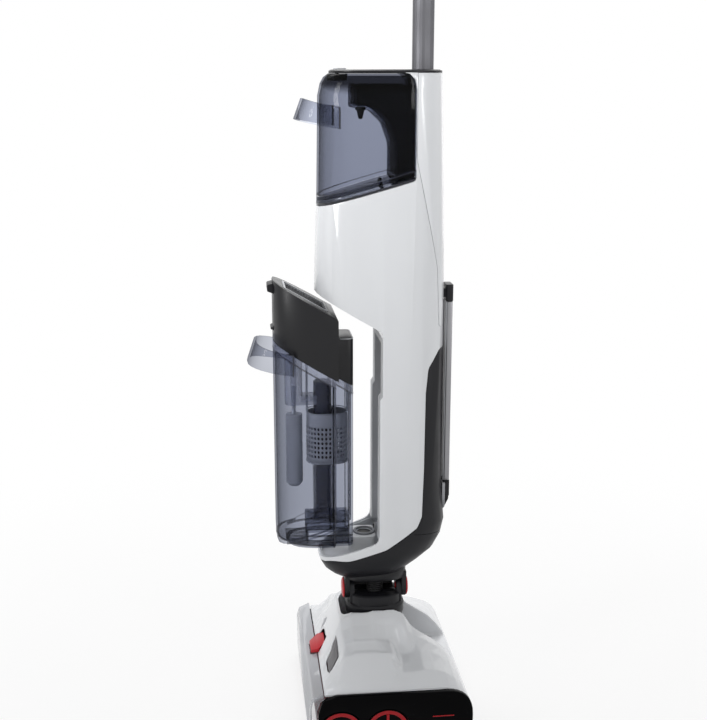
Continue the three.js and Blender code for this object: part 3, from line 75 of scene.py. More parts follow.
body_of_node = {
    node: body
    for body, members in record["behaviour"]["bodies"].items()
    for node in members
}

# %% [markdown]
# ## Selection helpers
#
# Operators act on whatever is selected, so each step first clears the selection and then
# takes up the one piece it works on. A finished piece keeps its place in its mesh.


# %% Selection helpers
def take(*pieces):
    """Selects these objects alone and makes the first one active."""
    if bpy.context.object and bpy.context.object.mode != "OBJECT":
        bpy.ops.object.mode_set(mode="OBJECT")
    bpy.ops.object.select_all(action="DESELECT")
    for piece in pieces:
        piece.select_set(True)
    bpy.context.view_layer.objects.active = pieces[0]


def apply_place(piece):
    """Puts the object's place, turn and size into its mesh."""
    take(piece)
    bpy.ops.object.transform_apply(location=True, rotation=True, scale=True)


def apply_modifiers(piece):
    take(piece)
    for modifier in list(piece.modifiers):
        bpy.ops.object.modifier_apply(modifier=modifier.name)


def smooth(piece, degrees=32):
    take(piece)
    bpy.ops.object.shade_smooth_by_angle(angle=math.radians(degrees))


def edit_all(piece):
    """Opens a piece in edit mode with all of it selected."""
    take(piece)
    bpy.ops.object.mode_set(mode="EDIT")
    bpy.ops.mesh.select_all(action="SELECT")


def leave_edit():
    bpy.ops.object.mode_set(mode="OBJECT")


def named(name):
    """The object that an operator has just added, under a name of its own."""
    bpy.context.object.name = name
    return bpy.context.object


print("helpers: take, apply_place, apply_modifiers, smooth, edit_all, leave_edit, named")

# %% [markdown]
# ## Camera
#
# A long lens at chest height looks down the machine's left side, so the tanks come out to
# the left of the view and the end of the head shows at the bottom.

# %% Camera
FRAME_SHIFT = -5.3 * MM  # the body's own middle lies this far in front of the origin
CAMERA_PLACE = Vector((1.3706, -0.1794 + FRAME_SHIFT, 0.808))
CAMERA_YAW = math.radians(6.2)
CAMERA_DROP = math.radians(14.0)
FOCAL_LENGTH = 58.15

forward = Vector((
    -math.cos(CAMERA_YAW) * math.cos(CAMERA_DROP),
    math.sin(CAMERA_YAW) * math.cos(CAMERA_DROP),
    -math.sin(CAMERA_DROP),
))
bpy.ops.object.camera_add(location=CAMERA_PLACE)
camera = bpy.context.object
camera.rotation_mode = "QUATERNION"
camera.rotation_quaternion = forward.to_track_quat("-Z", "Y")
camera.data.sensor_width = 36.0
camera.data.sensor_fit = "HORIZONTAL"
camera.data.lens = FOCAL_LENGTH
camera.data.clip_end = 50.0
bpy.context.scene.camera = camera
print("camera stands", round(CAMERA_PLACE.length, 2), "m from the origin")

# %% [markdown]
# ## Light
#
# Glossy white plastic only reads as a form when it has something darker and something
# brighter to reflect. Large soft lamps stand left, right, above and behind. Two of them have
# narrow barn doors, which keep their light on the body and off the head.


# %% Light
def soft_lamp(name, place, target, size, power, opening):
    """A rectangular lamp aimed at a target, with barn doors open by so many degrees."""
    bpy.ops.object.light_add(type="AREA", location=place)
    lamp = named(name)
    lamp.data.shape = "RECTANGLE"
    lamp.data.size, lamp.data.size_y = size
    lamp.data.energy = power
    lamp.data.spread = math.radians(opening)
    aim = Vector(target) - Vector(place)
    lamp.rotation_mode = "QUATERNION"
    lamp.rotation_quaternion = aim.to_track_quat("-Z", "Y")


BODY_MIDDLE = (0.0, 0.0, 0.6)
NARROW, OPEN = 56, 180
soft_lamp("key_lamp", (1.1, -1.9, 1.5), (0.0, 0.0, 1.4), (0.5, 1.4), 5.2, NARROW)
soft_lamp("fill_lamp", (1.5, 1.3, 1.4), (0.0, 0.0, 1.3), (0.4, 1.4), 1.8, NARROW)
soft_lamp("top_lamp", (-0.9, -0.3, 2.1), BODY_MIDDLE, (1.2, 1.2), 20, OPEN)
soft_lamp("back_lamp", (-1.5, 0.6, 1.2), BODY_MIDDLE, (1.4, 1.8), 5, OPEN)
bpy.context.scene.view_settings.view_transform = "Standard"
print("lamps:", [lamp.name for lamp in bpy.data.lights])

# %% [markdown]
# ## White world
#
# The world fills in what the lamps leave dark. The camera, mirrors and clear plastic see it
# plain white, and everything else meets a dimmer light. From here on many nodes are joined
# up, so small helpers add a node, fill its inputs with numbers or with other nodes' outputs,
# and do sums.


# %% White world
def set_inputs(tree, node, **inputs):
    """Fills a node's inputs, by label, with plain values or with sockets."""
    for label, value in inputs.items():
        socket = node.inputs[label.replace("_", " ")]
        if isinstance(value, bpy.types.NodeSocket):
            tree.links.new(value, socket)
        else:
            socket.default_value = value


def add_node(tree, kind, options=None, **inputs):
    """Adds a shader node, sets its options and fills its inputs."""
    node = tree.nodes.new("ShaderNode" + kind)
    for label, value in (options or {}).items():
        setattr(node, label, value)
    set_inputs(tree, node, **inputs)
    return node


def add_math(tree, operation, first, second, kind="Math"):
    """The result of a sum on two sockets or plain numbers."""
    node = add_node(tree, kind, {"operation": operation})
    for socket, value in zip(node.inputs, (first, second)):
        if isinstance(value, bpy.types.NodeSocket):
            tree.links.new(value, socket)
        else:
            socket.default_value = value
    return node.outputs[0]


def seen_rays(tree):
    """1 for rays of the camera, of clear plastic and of gloss, and 0 for plain light."""
    ray = add_node(tree, "LightPath").outputs
    seen = add_math(tree, "MAXIMUM", ray["Is Camera Ray"], ray["Is Transmission Ray"])
    return add_math(tree, "MAXIMUM", seen, ray["Is Glossy Ray"])


FILL_LEVEL = 0.46
WHITE = (1, 1, 1, 1)
world = bpy.data.worlds.new("white_room")
bpy.context.scene.world = world
world.use_nodes = True
air = world.node_tree
air.nodes.clear()
level = add_node(air, "MapRange", Value=seen_rays(air), To_Min=FILL_LEVEL, To_Max=1.0)
sky = add_node(air, "Background", Color=WHITE, Strength=level.outputs["Result"])
add_node(air, "OutputWorld", Surface=sky.outputs[0])
print("world: fill level", FILL_LEVEL)

# %% [markdown]
# ## Shared surface effects
#
# Three effects come back in most finishes, so each is a node group that is built once and
# placed in every material with its own numbers: the fine grain that a mould leaves in
# plastic, a slow mottle that keeps a surface from being one flat value, and the drawn lines
# of brushed metal. They put out plain values, which the materials turn into colour,
# roughness and bump.


# %% Shared surface effects
def effect_group(name, inputs, output):
    """An empty shader node group with these number inputs and this number output."""
    group = bpy.data.node_groups.new(name, "ShaderNodeTree")
    for label, value in inputs.items():
        socket = group.interface.new_socket(
            label, in_out="INPUT", socket_type="NodeSocketFloat")
        socket.default_value = value
    group.interface.new_socket(output, in_out="OUTPUT", socket_type="NodeSocketFloat")
    start = group.nodes.new("NodeGroupInput")
    end = group.nodes.new("NodeGroupOutput")
    place = add_node(group, "TexCoord")
    return group, start.outputs, end.inputs, place.outputs["Object"]


grain, start, end, place = effect_group("mould_grain", {"Scale": 900.0}, "Height")
speckle = add_node(grain, "TexNoise", Vector=place, Scale=start["Scale"], Detail=3.0)
grain.links.new(speckle.outputs["Fac"], end["Height"])

mottle, start, end, place = effect_group(
    "slow_mottle", {"Scale": 14.0, "Low": 0.0, "High": 1.0}, "Value")
cloud = add_node(mottle, "TexNoise", Vector=place, Scale=start["Scale"], Detail=4.0)
evened = add_node(mottle, "MapRange", Value=cloud.outputs["Fac"], From_Min=0.3,
                  From_Max=0.7, To_Min=start["Low"], To_Max=start["High"])
mottle.links.new(evened.outputs["Result"], end["Value"])

drawn, start, end, place = effect_group(
    "drawn_lines", {"Across": 900.0, "Along": 6.0}, "Height")
stretch = add_node(drawn, "CombineXYZ", X=start["Across"], Y=start["Across"],
                   Z=start["Along"])
sized = add_math(drawn, "MULTIPLY", place, stretch.outputs[0], kind="VectorMath")
line = add_node(drawn, "TexNoise", Vector=sized, Scale=1.0, Detail=2.0)
drawn.links.new(line.outputs["Fac"], end["Height"])
print("effects:", [group.name for group in bpy.data.node_groups])

# %% [markdown]
# ## Finishes
#
# Every finish starts as the same recipe: a colour that drifts a little, a roughness that
# drifts with it, and a bump from the grain. What changes from part to part is how fine the
# grain is, how deep, and how much clear gloss lies over it.


# %% Finishes
def shade(hex_code):
    """A written colour such as 'E6E8EA' as the linear numbers that a shader takes."""
    parts = [int(hex_code[i:i + 2], 16) / 255 for i in (0, 2, 4)]
    return [((c + 0.055) / 1.055) ** 2.4 if c > 0.04045 else c / 12.92 for c in parts]


def new_material(name):
    """A material, its node tree and its surface node."""
    material = bpy.data.materials.new(name)
    material.use_nodes = True
    return material, material.node_tree, material.node_tree.nodes["Principled BSDF"]


def use_group(tree, group, **values):
    """The output of an effect group placed in a material."""
    return add_node(tree, "Group", {"node_tree": group}, **values).outputs[0]


def mix_colours(tree, share, first, second):
    mix = add_node(tree, "Mix", {"data_type": "RGBA"}, Factor=share,
                   A=(*first, 1), B=(*second, 1))
    return mix.outputs["Result"]


def add_bump(tree, surface, height, depth):
    """Lets a pattern of heights stand out from a surface by depth, in mm."""
    bump = add_node(tree, "Bump", Height=height, Distance=depth * MM)
    set_inputs(tree, surface, Normal=bump.outputs["Normal"])


ROUGH_SCALE = 2.3  # the roughness drifts over smaller clouds than the colour
COAT_ROUGHNESS = 0.06


def finish_of(name, colour, roughness, drift=0.05, grain_scale=900, grain_depth=0.02,
              mottle_scale=14, rough_drift=0.05, metallic=0.0, coat=0.0, shine=0.5):
    """A moulded or painted finish: drifting colour and roughness over a fine grain."""
    material, tree, surface = new_material(name)
    linear = shade(colour)
    tint = mix_colours(tree, use_group(tree, mottle, Scale=mottle_scale),
                       [c * (1 - drift) for c in linear],
                       [min(1, c * (1 + drift)) for c in linear])
    rough = use_group(tree, mottle, Scale=mottle_scale * ROUGH_SCALE,
                      Low=max(0.02, roughness - rough_drift), High=roughness + rough_drift)
    set_inputs(tree, surface, Base_Color=tint, Roughness=rough, Metallic=metallic,
               Coat_Weight=coat, Coat_Roughness=COAT_ROUGHNESS, Specular_IOR_Level=shine)
    if grain_depth:
        add_bump(tree, surface, use_group(tree, grain, Scale=grain_scale), grain_depth)
    return material


FINE = dict(grain_scale=2600, grain_depth=0.004)
RECIPES = {
    "white_shell": ("E6E8EB", 0.24, dict(drift=0.012, grain_scale=700, grain_depth=0.004,
                                         rough_drift=0.03, coat=0.4)),
    "black_panel": ("17171B", 0.4, dict(FINE, shine=0.25)),
    "grey_liner": ("BFC1C4", 0.5, FINE),
    "charcoal_plastic": ("17171A", 0.38, dict(FINE, shine=0.3)),
    "black_gloss": ("030304", 0.16, dict(grain_depth=0.003, rough_drift=0.03, shine=0.04)),
    "light_grey": ("B4B6BA", 0.45, FINE),
    "red_accent": ("C01624", 0.34, dict(grain_depth=0.006, shine=0.3)),
    "strainer_grey": ("8F929A", 0.45, FINE),
    "seal_rubber": ("17171A", 0.8, dict(grain_scale=500, grain_depth=0.04, shine=0.3)),
    "hose_rubber": ("0D0D0F", 0.5, dict(grain_scale=400, grain_depth=0.03, shine=0.35)),
    "board_green": ("1F5A3A", 0.45, dict(drift=0.15, mottle_scale=160, grain_scale=240,
                                         grain_depth=0.05)),
    "motor_metal": ("A0A2A5", 0.38, dict(metallic=1.0, grain_depth=0.01)),
}
finishes = {
    name: finish_of(name, colour, roughness, **options)
    for name, (colour, roughness, options) in RECIPES.items()
}
print("moulded finishes:", len(finishes))

# %% [markdown]
# ## Clear plastic
#
# The tanks are thin tinted plastic. Their colour comes from how much wall the eye looks
# through, so the tint is weak where a wall faces the eye and deep where it turns away. Real
# glass in a closed thin wall would bend everything behind it, so the tank plastic lets light
# go straight through and only tints it. The small clear mouldings cover what is behind them
# instead, thinly where they are seen square on and almost fully at a grazing angle. A wall
# has two skins, and only the one that faces the eye is drawn, so each wall tints what is
# behind it once.


# %% Clear plastic
def tinted_material(name, colour, edge_colour, blend, deepen=None):
    """A material whose tint goes from colour to edge_colour as a wall turns away.

    deepen is a function of the tree that gives a second share of the edge colour.
    """
    material, tree, surface = new_material(name)
    turned_away = add_node(tree, "LayerWeight", Blend=blend).outputs["Facing"]
    if deepen:
        turned_away = add_math(tree, "MAXIMUM", turned_away, deepen(tree))
    tint = mix_colours(tree, turned_away, shade(colour), shade(edge_colour))
    set_inputs(tree, surface, Base_Color=tint)
    return material, tree, surface, turned_away


def clear_finish(name, colour, edge_colour, thin, thick):
    """Small clear mouldings: thin is the cover seen square on, thick at a grazing angle."""
    material, tree, surface, turned_away = tinted_material(name, colour, edge_colour, 0.42)
    cover = add_node(tree, "MapRange", Value=turned_away, To_Min=thin, To_Max=thick)
    side = add_node(tree, "NewGeometry")
    faces_eye = add_math(tree, "SUBTRACT", 1.0, side.outputs["Backfacing"])
    set_inputs(tree, surface,
               Alpha=add_math(tree, "MULTIPLY", cover.outputs["Result"], faces_eye),
               Roughness=use_group(tree, mottle, Scale=30.0, Low=0.05, High=0.12))
    add_bump(tree, surface, use_group(tree, grain, Scale=60.0), 0.03)
    return material


def glass_finish(name, colour, edge_colour, deepen=None):
    """Tank plastic: it tints what is behind it, leaves it in place and adds its own gloss."""
    material, tree, surface, _ = tinted_material(name, colour, edge_colour, 0.56, deepen)
    side = add_node(tree, "NewGeometry")
    ray = add_node(tree, "LightPath")
    unseen = add_math(tree, "MAXIMUM", side.outputs["Backfacing"],
                      ray.outputs["Is Shadow Ray"])
    set_inputs(tree, surface, Transmission_Weight=1.0, IOR=1.0, Coat_Weight=0.14,
               Coat_Roughness=COAT_ROUGHNESS, Alpha=add_math(tree, "SUBTRACT", 1.0, unseen),
               Roughness=use_group(tree, mottle, Scale=30.0, Low=0.0, High=0.03))
    return material


finishes["smoky_tank"] = glass_finish("smoky_tank", "989DAC", "131624")
finishes["clear_guard"] = clear_finish("clear_guard", "D2D4D8", "A8ABB2", 0.8, 0.97)
print("clear finishes: smoky_tank, clear_guard")

# %% [markdown]
# ## Brushed metal
#
# The tube and the rail are drawn aluminium. Fine lines run along them, so a light smears
# across the width and stays sharp along the length. The lines drive the bump.


# %% Brushed metal
def brushed_finish(name, colour, roughness):
    material = finish_of(name, colour, roughness, metallic=1.0, grain_depth=0)
    tree = material.node_tree
    lines = use_group(tree, drawn, Across=900.0, Along=6.0)
    add_bump(tree, tree.nodes["Principled BSDF"], lines, 0.012)
    return material


finishes["tube_metal"] = brushed_finish("tube_metal", "6F6F73", 0.6)
finishes["rail_metal"] = brushed_finish("rail_metal", "8E8E91", 0.4)
print("brushed finishes: tube_metal, rail_metal")

# %% [markdown]
# ## Roller pile and filter paper
#
# The rollers wear a dense short pile of soft fibre. At this size single fibres are finer than
# the eye resolves, so a deep, fine bump and a sheen stand for them. Filter paper is matt,
# with a fibrous grain.

# %% Roller pile and filter paper
pile = finish_of("brush_pile", "8E3A40", 0.95, drift=0.22, grain_scale=1500,
                 grain_depth=0.35, mottle_scale=120)
set_inputs(pile.node_tree, pile.node_tree.nodes["Principled BSDF"],
           Sheen_Weight=0.6, Sheen_Roughness=0.5)
finishes["brush_pile"] = pile
finishes["filter_media"] = finish_of("filter_media", "2A2B2E", 0.9, drift=0.15,
                                     grain_scale=1200, grain_depth=0.12, mottle_scale=90)
print("finishes:", len(finishes), "for", len(set(slot_of.values())), "slots")
print("slots without a finish:", sorted(set(slot_of.values()) - set(finishes)))

# %% [markdown]
# ## Floor
#
# The machine stands on a plain pale floor. The floor takes the object's soft shadow close to
# it, and further out it fades into the white of the background, so no horizon shows. Rays
# that the camera, gloss and clear plastic send out see that white; light itself only meets
# the plain pale floor.

# %% Floor
FLOOR_SIZE, FLOOR_DROP = 12, 0.0006  # the floor lies a hair below the wheels
FADE_START, FADE_END = 0.3, 1.1  # metres from the machine
NEAR_WHITE = 0.72  # share of plain white where the shadow falls
bpy.ops.mesh.primitive_grid_add(x_subdivisions=8, y_subdivisions=8, size=FLOOR_SIZE,
                                location=(0, 0, -FLOOR_DROP))
floor = named("studio_floor")
apply_place(floor)
floor_finish = finish_of("floor_white", "FAFAFA", 0.7, drift=0.004, grain_scale=40,
                         grain_depth=0.02)
ground = floor_finish.node_tree
where = add_node(ground, "TexCoord").outputs["Object"]
reach = add_node(ground, "VectorMath", {"operation": "LENGTH"}, Vector=where)
fade = add_node(ground, "MapRange", {"interpolation_type": "SMOOTHSTEP"},
                Value=reach.outputs["Value"], From_Min=FADE_START, From_Max=FADE_END,
                To_Min=NEAR_WHITE)
share = add_math(ground, "MULTIPLY", fade.outputs["Result"], seen_rays(ground))
white = add_node(ground, "Emission", Color=WHITE)
blend = add_node(ground, "MixShader", Fac=share)
ground.links.new(ground.nodes["Principled BSDF"].outputs[0], blend.inputs[1])
ground.links.new(white.outputs[0], blend.inputs[2])
ground.links.new(blend.outputs[0], ground.nodes["Material Output"].inputs["Surface"])
floor.data.materials.append(floor_finish)
print("floor:", tuple(round(size, 1) for size in floor.dimensions))

# %% [markdown]
# ## Dressing the solids
#
# Most mouldings already have their right form in the frame. What they lack is the small
# radius that every real mould leaves on an edge, and smooth shading over their curves. A
# copy of the solid is merged into one skin, its flat facets are joined, its sharp edges get
# a narrow bevel, and it takes over from the plain solid.


# %% Dressing the solids
def finish_piece(piece, slot, body=None, finish=None):
    """Gives a piece its finish and, if a body is named, lets it ride on it."""
    piece.data.materials.clear()
    piece.data.materials.append(finish or finishes[slot])
    if body:
        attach(piece, body)


def refinish(node, finish):
    """Gives a dressed solid another finish than the one of its slot."""
    bpy.data.objects[node + "_dressed"].data.materials[0] = finish


WELD = 0.002 * MM  # points closer than this are one point
FLAT = math.radians(0.6)  # facets that turn less than this are one facet


def copy_of(node, name, join_facets=True):
    """A free, merged copy of a solid of the frame."""
    copy = nodes[node].copy()
    copy.data = nodes[node].data.copy()
    copy.name = name
    copy.parent = None
    copy.hide_render = copy.hide_viewport = False
    bpy.context.collection.objects.link(copy)
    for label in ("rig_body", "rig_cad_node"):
        del copy[label]
    edit_all(copy)
    bpy.ops.mesh.remove_doubles(threshold=WELD)
    if join_facets:
        bpy.ops.mesh.dissolve_limited(angle_limit=FLAT)
    leave_edit()
    return copy


def soften(piece, radius, steps=2, edge_angle=38, shade_angle=42):
    """Bevels the sharp edges and shades the curves smooth."""
    bevel = piece.modifiers.new("edge_radius", "BEVEL")
    bevel.width = radius * MM
    bevel.segments = steps
    bevel.limit_method = "ANGLE"
    bevel.angle_limit = math.radians(edge_angle)
    bevel.miter_outer = "MITER_ARC"
    apply_modifiers(piece)
    smooth(piece, shade_angle)


def dress(node, radius):
    """Replaces a solid with a softened copy of itself in the finish of its slot."""
    copy = copy_of(node, node + "_dressed")
    soften(copy, radius)
    finish_piece(copy, slot_of[node], body_of_node[node])
    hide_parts(node)


EDGE_RADII = {  # mm
    0.3: "handle_left handle_right spray_window",
    0.4: "display_lens bay_catch clean_tank dirty_tank",
    0.5: "filter_frame pivot_pin_front pivot_pin_rear front_roller_cap rear_roller_cap "
         "rear_rail clean_tank_base front_guard float_guide head_chassis tube_socket",
    0.6: "front_housing rear_cover back_panel top_cover fill_cap lid_latch rail_cradle "
         "power_button self_clean_button inlet_duct",
    0.7: "tank_release_button guard_latch rail_cap_top rail_cap_bottom clean_tank_handle "
         "dirty_tank_handle",
    0.8: "bay_liner bay_tray dirty_tank_lid neck_drum neck_collar float dock_bulkhead",
    0.9: "end_panel_left end_panel_right",
    2.0: "wheel_left wheel_right",
}
dressed = {node: radius for radius, group in EDGE_RADII.items() for node in group.split()}
for node, radius in dressed.items():
    dress(node, radius)
plain = [node for node in nodes if node not in dressed and node != "head_cover"]
for node in plain:
    finish_piece(nodes[node], slot_of[node])
print("dressed:", len(dressed), "finished as they are:", len(plain))

# %% [markdown]
# ## Cover of the head
#
# The cover is a soft form with a hump round the neck. Its solid is made of flat strips, so it
# is cut into even small faces first. Then the hump's shoulders beside the neck are drawn up,
# the ends are drawn flat, which gives each end one plane with soft borders, and the whole
# skin is relaxed a little, as a thick moulding has no sharp creases.


# %% Even faces for the cover
def add_swell(piece, name, distance):
    """Moves a skin outwards by a distance in mm."""
    swell = piece.modifiers.new(name, "DISPLACE")
    swell.strength = distance * MM
    swell.mid_level = 0


SKIN_CELL = 1.8  # size of the even faces, mm
SWELL = 1.25  # the wall is thickened by this much while it is cut, so that no hole opens, mm
cover = copy_of("head_cover", "head_cover_dressed", join_facets=False)
bpy.context.view_layer.update()
add_swell(cover, "swell", SWELL)
even = cover.modifiers.new("even_faces", "REMESH")
even.mode = "VOXEL"
even.voxel_size = SKIN_CELL * MM
add_swell(cover, "shrink", -SWELL)
apply_modifiers(cover)
print("cover faces:", len(cover.data.polygons))

# %% [markdown]
# ## Form of the cover
#
# Every point of the new skin is raised or lowered by a height that depends on its place. Soft
# ramps fade each change in and out, so the changes leave no edge. All places are in mm from
# the middle of the machine, and y grows towards the rear.


# %% Form of the cover
def ramp(value, start, end):
    """0 before start, 1 after end and a soft S between them."""
    share = min(1.0, max(0.0, (value - start) / (end - start)))
    return share * share * (3 - 2 * share)


ABOVE_ALL = 0.4  # a height above the head, m
UPPER_SKIN = 70  # the cover's upper skin lies higher than this


def height_on(piece, x, y):
    """Height of the cover's upper skin in mm, or None where it has a hole."""
    hit, top, *_ = piece.ray_cast(
        Vector((x * MM, y * MM, ABOVE_ALL)), Vector((0, 0, -1)))
    return top.z / MM if hit and top.z > UPPER_SKIN * MM else None


END_TOP, END_PLACE, END_SLOPE = 75.5, 124.0, 0.93  # the flat end of the cover
END_SIDES, END_REAR = (78, 88), (4, 26)  # where it fades in and out
HUMP_SIDE, HUMP_FOOT, FOOT_TOP = 52.0, 86.0, 109.0  # the straight flank above it
FLANK_FRONT, FLANK_REAR, FLANK_OVER = (-66, -54), (2, 16), 6
SHOULDER_LIFT = 9.5  # how far the hump is drawn up beside the neck
SHOULDER_FRONT, SHOULDER_REAR = (-24, 4), (20, 36)
SHOULDER_SIDES, SHOULDER_HEIGHTS = (46, 68), (84, 112)
solid_cover = nodes["head_cover"]
side_height = {y: height_on(solid_cover, HUMP_SIDE, y) for y in range(-70, 20)}
for vertex in cover.data.vertices:
    x, y, z = (part / MM for part in vertex.co)
    far = abs(x)
    lift = (SHOULDER_LIFT * ramp(y, *SHOULDER_FRONT) * (1 - ramp(y, *SHOULDER_REAR))
            * (1 - ramp(far, *SHOULDER_SIDES)) * ramp(z, *SHOULDER_HEIGHTS))
    beyond_hump = far > HUMP_SIDE - 2 and z > UPPER_SKIN
    here = height_on(solid_cover, x, y) if beyond_hump else None
    if here:
        beside = side_height.get(round(y))
        if beside and far < HUMP_FOOT + FLANK_OVER:
            share = (far - HUMP_SIDE) / (HUMP_FOOT - HUMP_SIDE)
            flank = beside + (FOOT_TOP - beside) * share
            lift += (max(0.0, flank - here) * ramp(y, *FLANK_FRONT)
                     * (1 - ramp(y, *FLANK_REAR)))
        plane = END_TOP + (END_PLACE - far) * END_SLOPE
        lift -= (max(0.0, here + max(0.0, lift) - plane) * ramp(far, *END_SIDES)
                 * (1 - ramp(y, *END_REAR)))
    vertex.co.z += lift * MM
relax = cover.modifiers.new("relax", "SMOOTH")
relax.factor = 0.5
relax.iterations = 4
apply_modifiers(cover)
smooth(cover, 60)
finish_piece(cover, "white_shell", body_of_node["head_cover"])
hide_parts("head_cover")
print("cover spans", [round(size / MM) for size in cover.dimensions], "mm")

# %% [markdown]
# ## Bands, rims and seams
#
# Many small mouldings follow the skin of a bigger one: a rim, a seam, a line where two
# mouldings meet. Such a band could be drawn afresh, but it would never quite fit. Cutting the
# solid between two parallel planes and swelling what is left gives a band that fits
# everywhere.


# %% Bands, rims and seams
def cut_off(point, outward):
    """In edit mode, cuts off what lies beyond a plane and closes the cut."""
    bpy.ops.mesh.select_all(action="SELECT")
    bpy.ops.mesh.bisect(plane_co=point, plane_no=outward, use_fill=True, clear_outer=True)


def trim(piece, point, outward):
    """Cuts off what lies beyond a plane from a finished piece."""
    edit_all(piece)
    cut_off(point, outward)
    leave_edit()


def slice_of(node, name, middle, across, width, proud, slot, finish=None):
    """The part of a solid between two parallel planes, swollen by proud; sizes in mm."""
    band = copy_of(node, name, join_facets=False)
    across = Vector(across).normalized()
    edit_all(band)
    for side in (-1, 1):
        cut_off(middle + across * side * width * MM / 2, across * side)
    bpy.ops.mesh.select_all(action="SELECT")
    bpy.ops.mesh.normals_make_consistent(inside=False)
    bpy.ops.transform.shrink_fatten(value=proud * MM)
    leave_edit()
    smooth(band, 40)
    finish_piece(band, slot, body_of_node[node], finish)
    return band


def pick_faces(piece, wanted):
    """Selects, in edit mode, the faces whose middle and normal pass the test."""
    take(piece)
    bpy.ops.object.mode_set(mode="EDIT")
    bpy.ops.mesh.select_mode(type="FACE")
    bpy.ops.mesh.select_all(action="DESELECT")
    leave_edit()
    for face in piece.data.polygons:
        face.select = wanted(face.center, face.normal)
    bpy.ops.object.mode_set(mode="EDIT")


def middle_of(node):
    low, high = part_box(node)
    return (low + high) / 2


print("helpers: cut_off, trim, slice_of, pick_faces, middle_of")

# %% [markdown]
# ## The drawn-out tank
#
# The dirty water tank has a thick rim under its lid, a step where its narrow rear part
# starts, a rounded floor that carries low ribs, and a ring that grips the inlet. All of them
# are clear plastic of the same tint, and they show because more plastic covers the light
# there.

# %% Rim and step of the dirty water tank
tank_low, tank_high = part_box("dirty_tank")
lid_low, lid_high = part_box("dirty_tank_lid")
rim_fall = (tank_high.z - lid_low.z) / (tank_high.y - tank_low.y)
up_from_rim = Vector((0, rim_fall, 1)).normalized()
rim_front = Vector((0, tank_low.y, tank_high.z))
RIM_WIDTH = 8.0
STEP_SHARE = 0.742  # the narrow rear part starts this far along the tank
step_place = tank_low.y + STEP_SHARE * (tank_high.y - tank_low.y)


def below_rim(depth):
    """A point in the middle of the tank, this many mm below its slanted rim."""
    return rim_front - up_from_rim * depth * MM


rim_plastic = clear_finish("rim_plastic", "8B90A6", "3A3F55", 0.35, 0.95)
line_plastic = clear_finish("line_plastic", "262A3C", "0E1018", 0.6, 0.98)
refinish("float_guide", clear_finish("guide_plastic", "9297AA", "4A4F64", 0.5, 0.92))
refinish("inlet_duct", clear_finish("duct_plastic", "1F2338", "0B0C14", 0.82, 0.98))
slice_of("dirty_tank", "tank_rim_band", below_rim(RIM_WIDTH / 2 + 0.4), up_from_rim,
         RIM_WIDTH, 0.08, "smoky_tank", rim_plastic)
slice_of("dirty_tank", "tank_rim_line", below_rim(RIM_WIDTH + 0.6), up_from_rim,
         0.8, 0.6, "smoky_tank", line_plastic)
for name, place, width, proud in (
        ("tank_step_edges", step_place, 1.4, 0.35),
        ("tank_rear_edges", tank_high.y - 6 * MM, 0.9, 0.3)):
    edges = slice_of("dirty_tank", name, Vector((0, place, 0)), (0, 1, 0), width, proud,
                     "smoky_tank", line_plastic)
    trim(edges, below_rim(RIM_WIDTH + 1), up_from_rim)
print("rim falls", round(math.degrees(math.atan(rim_fall)), 1), "degrees to the rear")

# %% [markdown]
# ## Floor of the dirty water tank
#
# The floor is where the dirt settles. Low ribs stiffen it, a raised ring goes round the inlet
# pier, and two foot lines go round the outside where the wall turns in. One rib is made and
# repeated.


# %% Floor of the dirty water tank
def box_piece(name, size, place):
    """A box of a size in mm round a place in metres."""
    bpy.ops.mesh.primitive_cube_add(size=1, location=place)
    box = named(name)
    box.scale = Vector(size) * MM
    apply_place(box)
    return box


def repeat(piece, step, count):
    """Repeats a piece, each copy moved on by a step in mm; the modifier is still live."""
    rows = piece.modifiers.new("rows", "ARRAY")
    rows.use_relative_offset = False
    rows.use_constant_offset = True
    rows.constant_offset_displace = Vector(step) * MM
    rows.count = count
    return rows


def torus_piece(name, radius, thickness, place=(0, 0, 0), segments=48, minor=8):
    """A ring lying flat: radius to the middle of its rim and radius of the rim, mm."""
    bpy.ops.mesh.primitive_torus_add(
        major_segments=segments, minor_segments=minor, major_radius=radius * MM,
        minor_radius=thickness * MM, location=place)
    return named(name)


RIB_HEIGHT, RIB_THICKNESS, RIB_PITCH, RIB_COUNT = 4.0, 1.4, 11.0, 5
RIB_LIFT = 3.6  # the tank's floor is this thick
duct_low, duct_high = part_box("inlet_duct")
rib_front, rib_rear = tank_low.y + 13 * MM, duct_low.y - 9 * MM
floor_ribs = box_piece(
    "tank_floor_ribs", (RIB_THICKNESS, (rib_rear - rib_front) / MM, RIB_HEIGHT),
    (-RIB_PITCH * (RIB_COUNT - 1) / 2 * MM, (rib_front + rib_rear) / 2,
     tank_low.z + (RIB_LIFT + RIB_HEIGHT / 2) * MM))
repeat(floor_ribs, (RIB_PITCH, 0, 0), RIB_COUNT)
soften(floor_ribs, 0.5)
finish_piece(floor_ribs, "smoky_tank", "dirty_tank_unit", line_plastic)

for name, height, width in (("tank_foot_line", 13, 0.8), ("tank_foot_band", 4, 1.2)):
    slice_of("dirty_tank", name, Vector((0, 0, tank_low.z + height * MM)), (0, 0, 1),
             width, 0.3, "smoky_tank", line_plastic)

duct_middle = (duct_low + duct_high) / 2
pier_ring = torus_piece("tank_pier_ring", 16.5, 1.1,
                        (duct_middle.x, duct_middle.y, duct_low.z - 1.5 * MM))
apply_place(pier_ring)
smooth(pier_ring, 60)
finish_piece(pier_ring, "smoky_tank", "dirty_tank_unit", line_plastic)
print("ribs:", RIB_COUNT, "from", round(rib_front / MM), "to", round(rib_rear / MM), "mm")

